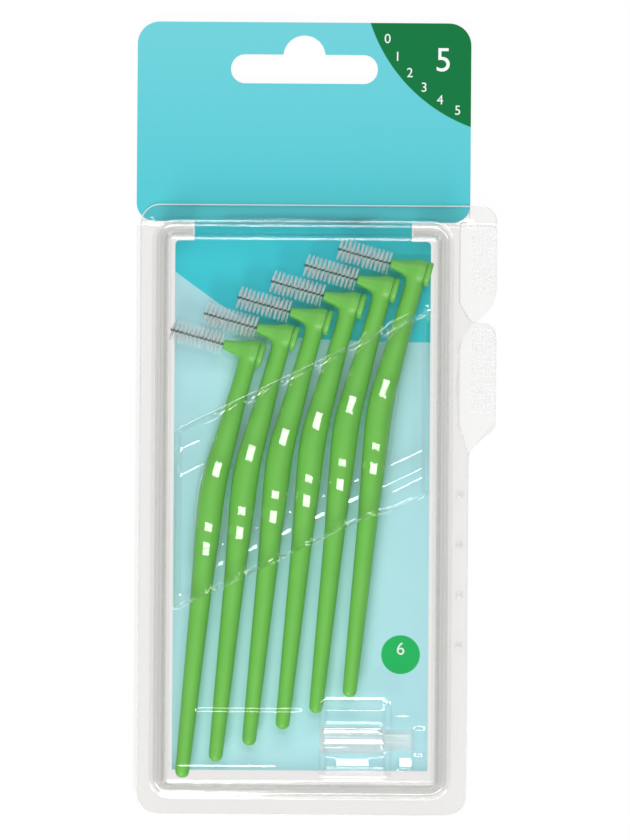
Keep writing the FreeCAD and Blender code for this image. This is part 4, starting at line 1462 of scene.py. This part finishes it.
FLOOR_DROP = 0.1
FLOOR_SIZE = 4000.0
FLOOR_GLOW = 0.9


def floor_white():
    """White paper that stays white where the camera sees it and keeps a soft shadow."""
    finish = Finish("floor_white")
    grain = finish.mix(finish.noise(40.0), shade(245, 245, 245), shade(250, 250, 250))
    paper = finish.add("ShaderNodeBsdfDiffuse", Color=grain)
    glow = finish.add("ShaderNodeEmission", Color=(1, 1, 1, 1), Strength=1.0)
    light_path = finish.add("ShaderNodeLightPath")
    seen = finish.math("MAXIMUM", light_path.outputs["Is Camera Ray"], light_path.outputs["Is Glossy Ray"])
    seen = finish.math("MAXIMUM", seen, light_path.outputs["Is Transmission Ray"])
    return finish.finish(finish.blend(finish.math("MULTIPLY", seen, FLOOR_GLOW), paper, glow))


def make_floor():
    """A wide plain floor just under the pack."""
    half = FLOOR_SIZE / 2
    corners = [(-half, -half, -FLOOR_DROP), (half, -half, -FLOOR_DROP), (half, half, -FLOOR_DROP),
               (-half, half, -FLOOR_DROP)]
    floor = in_scene("floor", new_mesh("floor", corners, [(0, 1, 2, 3)], floor_white()))


# Tilt from straight above, azimuth from +X, size and power of each softbox
SOFTBOXES = {
    "key": (60, 254, (0.45, 0.25), 6.2),
    "far_strip": (52, 90, (0.8, 0.14), 3.2),
    "upper_strip": (21, 75, (1.0, 0.08), 2.4),
    "lower_strip": (21, 264, (1.0, 0.08), 2.4),
}
LIGHT_DISTANCE = 1.0
SOFT_LIGHT = (0.95, 0.97, 1.0, 1)
SOFT_STRENGTH = 0.23


def add_softbox(name, tilt, azimuth, size, power):
    """A softbox that looks at the pack, tilted from straight above towards an azimuth from +X."""
    lamp = bpy.data.lights.new(name, "AREA")
    lamp.shape = "RECTANGLE"
    lamp.size, lamp.size_y = size
    lamp.energy = power
    holder = in_scene(name, lamp)
    lean, heading = math.radians(tilt), math.radians(azimuth)
    place = Vector((math.sin(lean) * math.cos(heading), math.sin(lean) * math.sin(heading),
                    math.cos(lean)))
    holder.location = place * LIGHT_DISTANCE
    holder.rotation_euler = place.to_track_quat("Z", "Y").to_euler()


def make_light():
    """A low key from the lower left, a strip facing it, two more near the camera's axis and soft light."""
    for name, settings in SOFTBOXES.items():
        add_softbox(name, *settings)
    world = bpy.data.worlds.new("studio")
    world.use_nodes = True
    backdrop = world.node_tree.nodes["Background"]
    backdrop.inputs["Color"].default_value = SOFT_LIGHT
    backdrop.inputs["Strength"].default_value = SOFT_STRENGTH
    bpy.context.scene.world = world


CAMERA_HEIGHT = 1.5
CAMERA_MIDDLE = (2.92, -0.22)
CAMERA_LENS = 286
CAMERA_ROLL = 0.4


def make_camera():
    """Straight above the pack, with a long lens."""
    lens = bpy.data.cameras.new("camera")
    lens.lens = CAMERA_LENS
    lens.clip_end = 10
    camera = in_scene("camera", lens)
    camera.location = (CAMERA_MIDDLE[0] * MM, CAMERA_MIDDLE[1] * MM, CAMERA_HEIGHT)
    camera.rotation_euler = (0, 0, math.radians(CAMERA_ROLL))
    bpy.context.scene.camera = camera


make_floor()
make_light()
make_camera()
make_card()
make_hinge()
make_brushes()
make_cap()
make_rear_shell()
make_front_shell()
make_tab_grip()
make_snaps()
bpy.context.scene.view_settings.view_transform = "Standard"
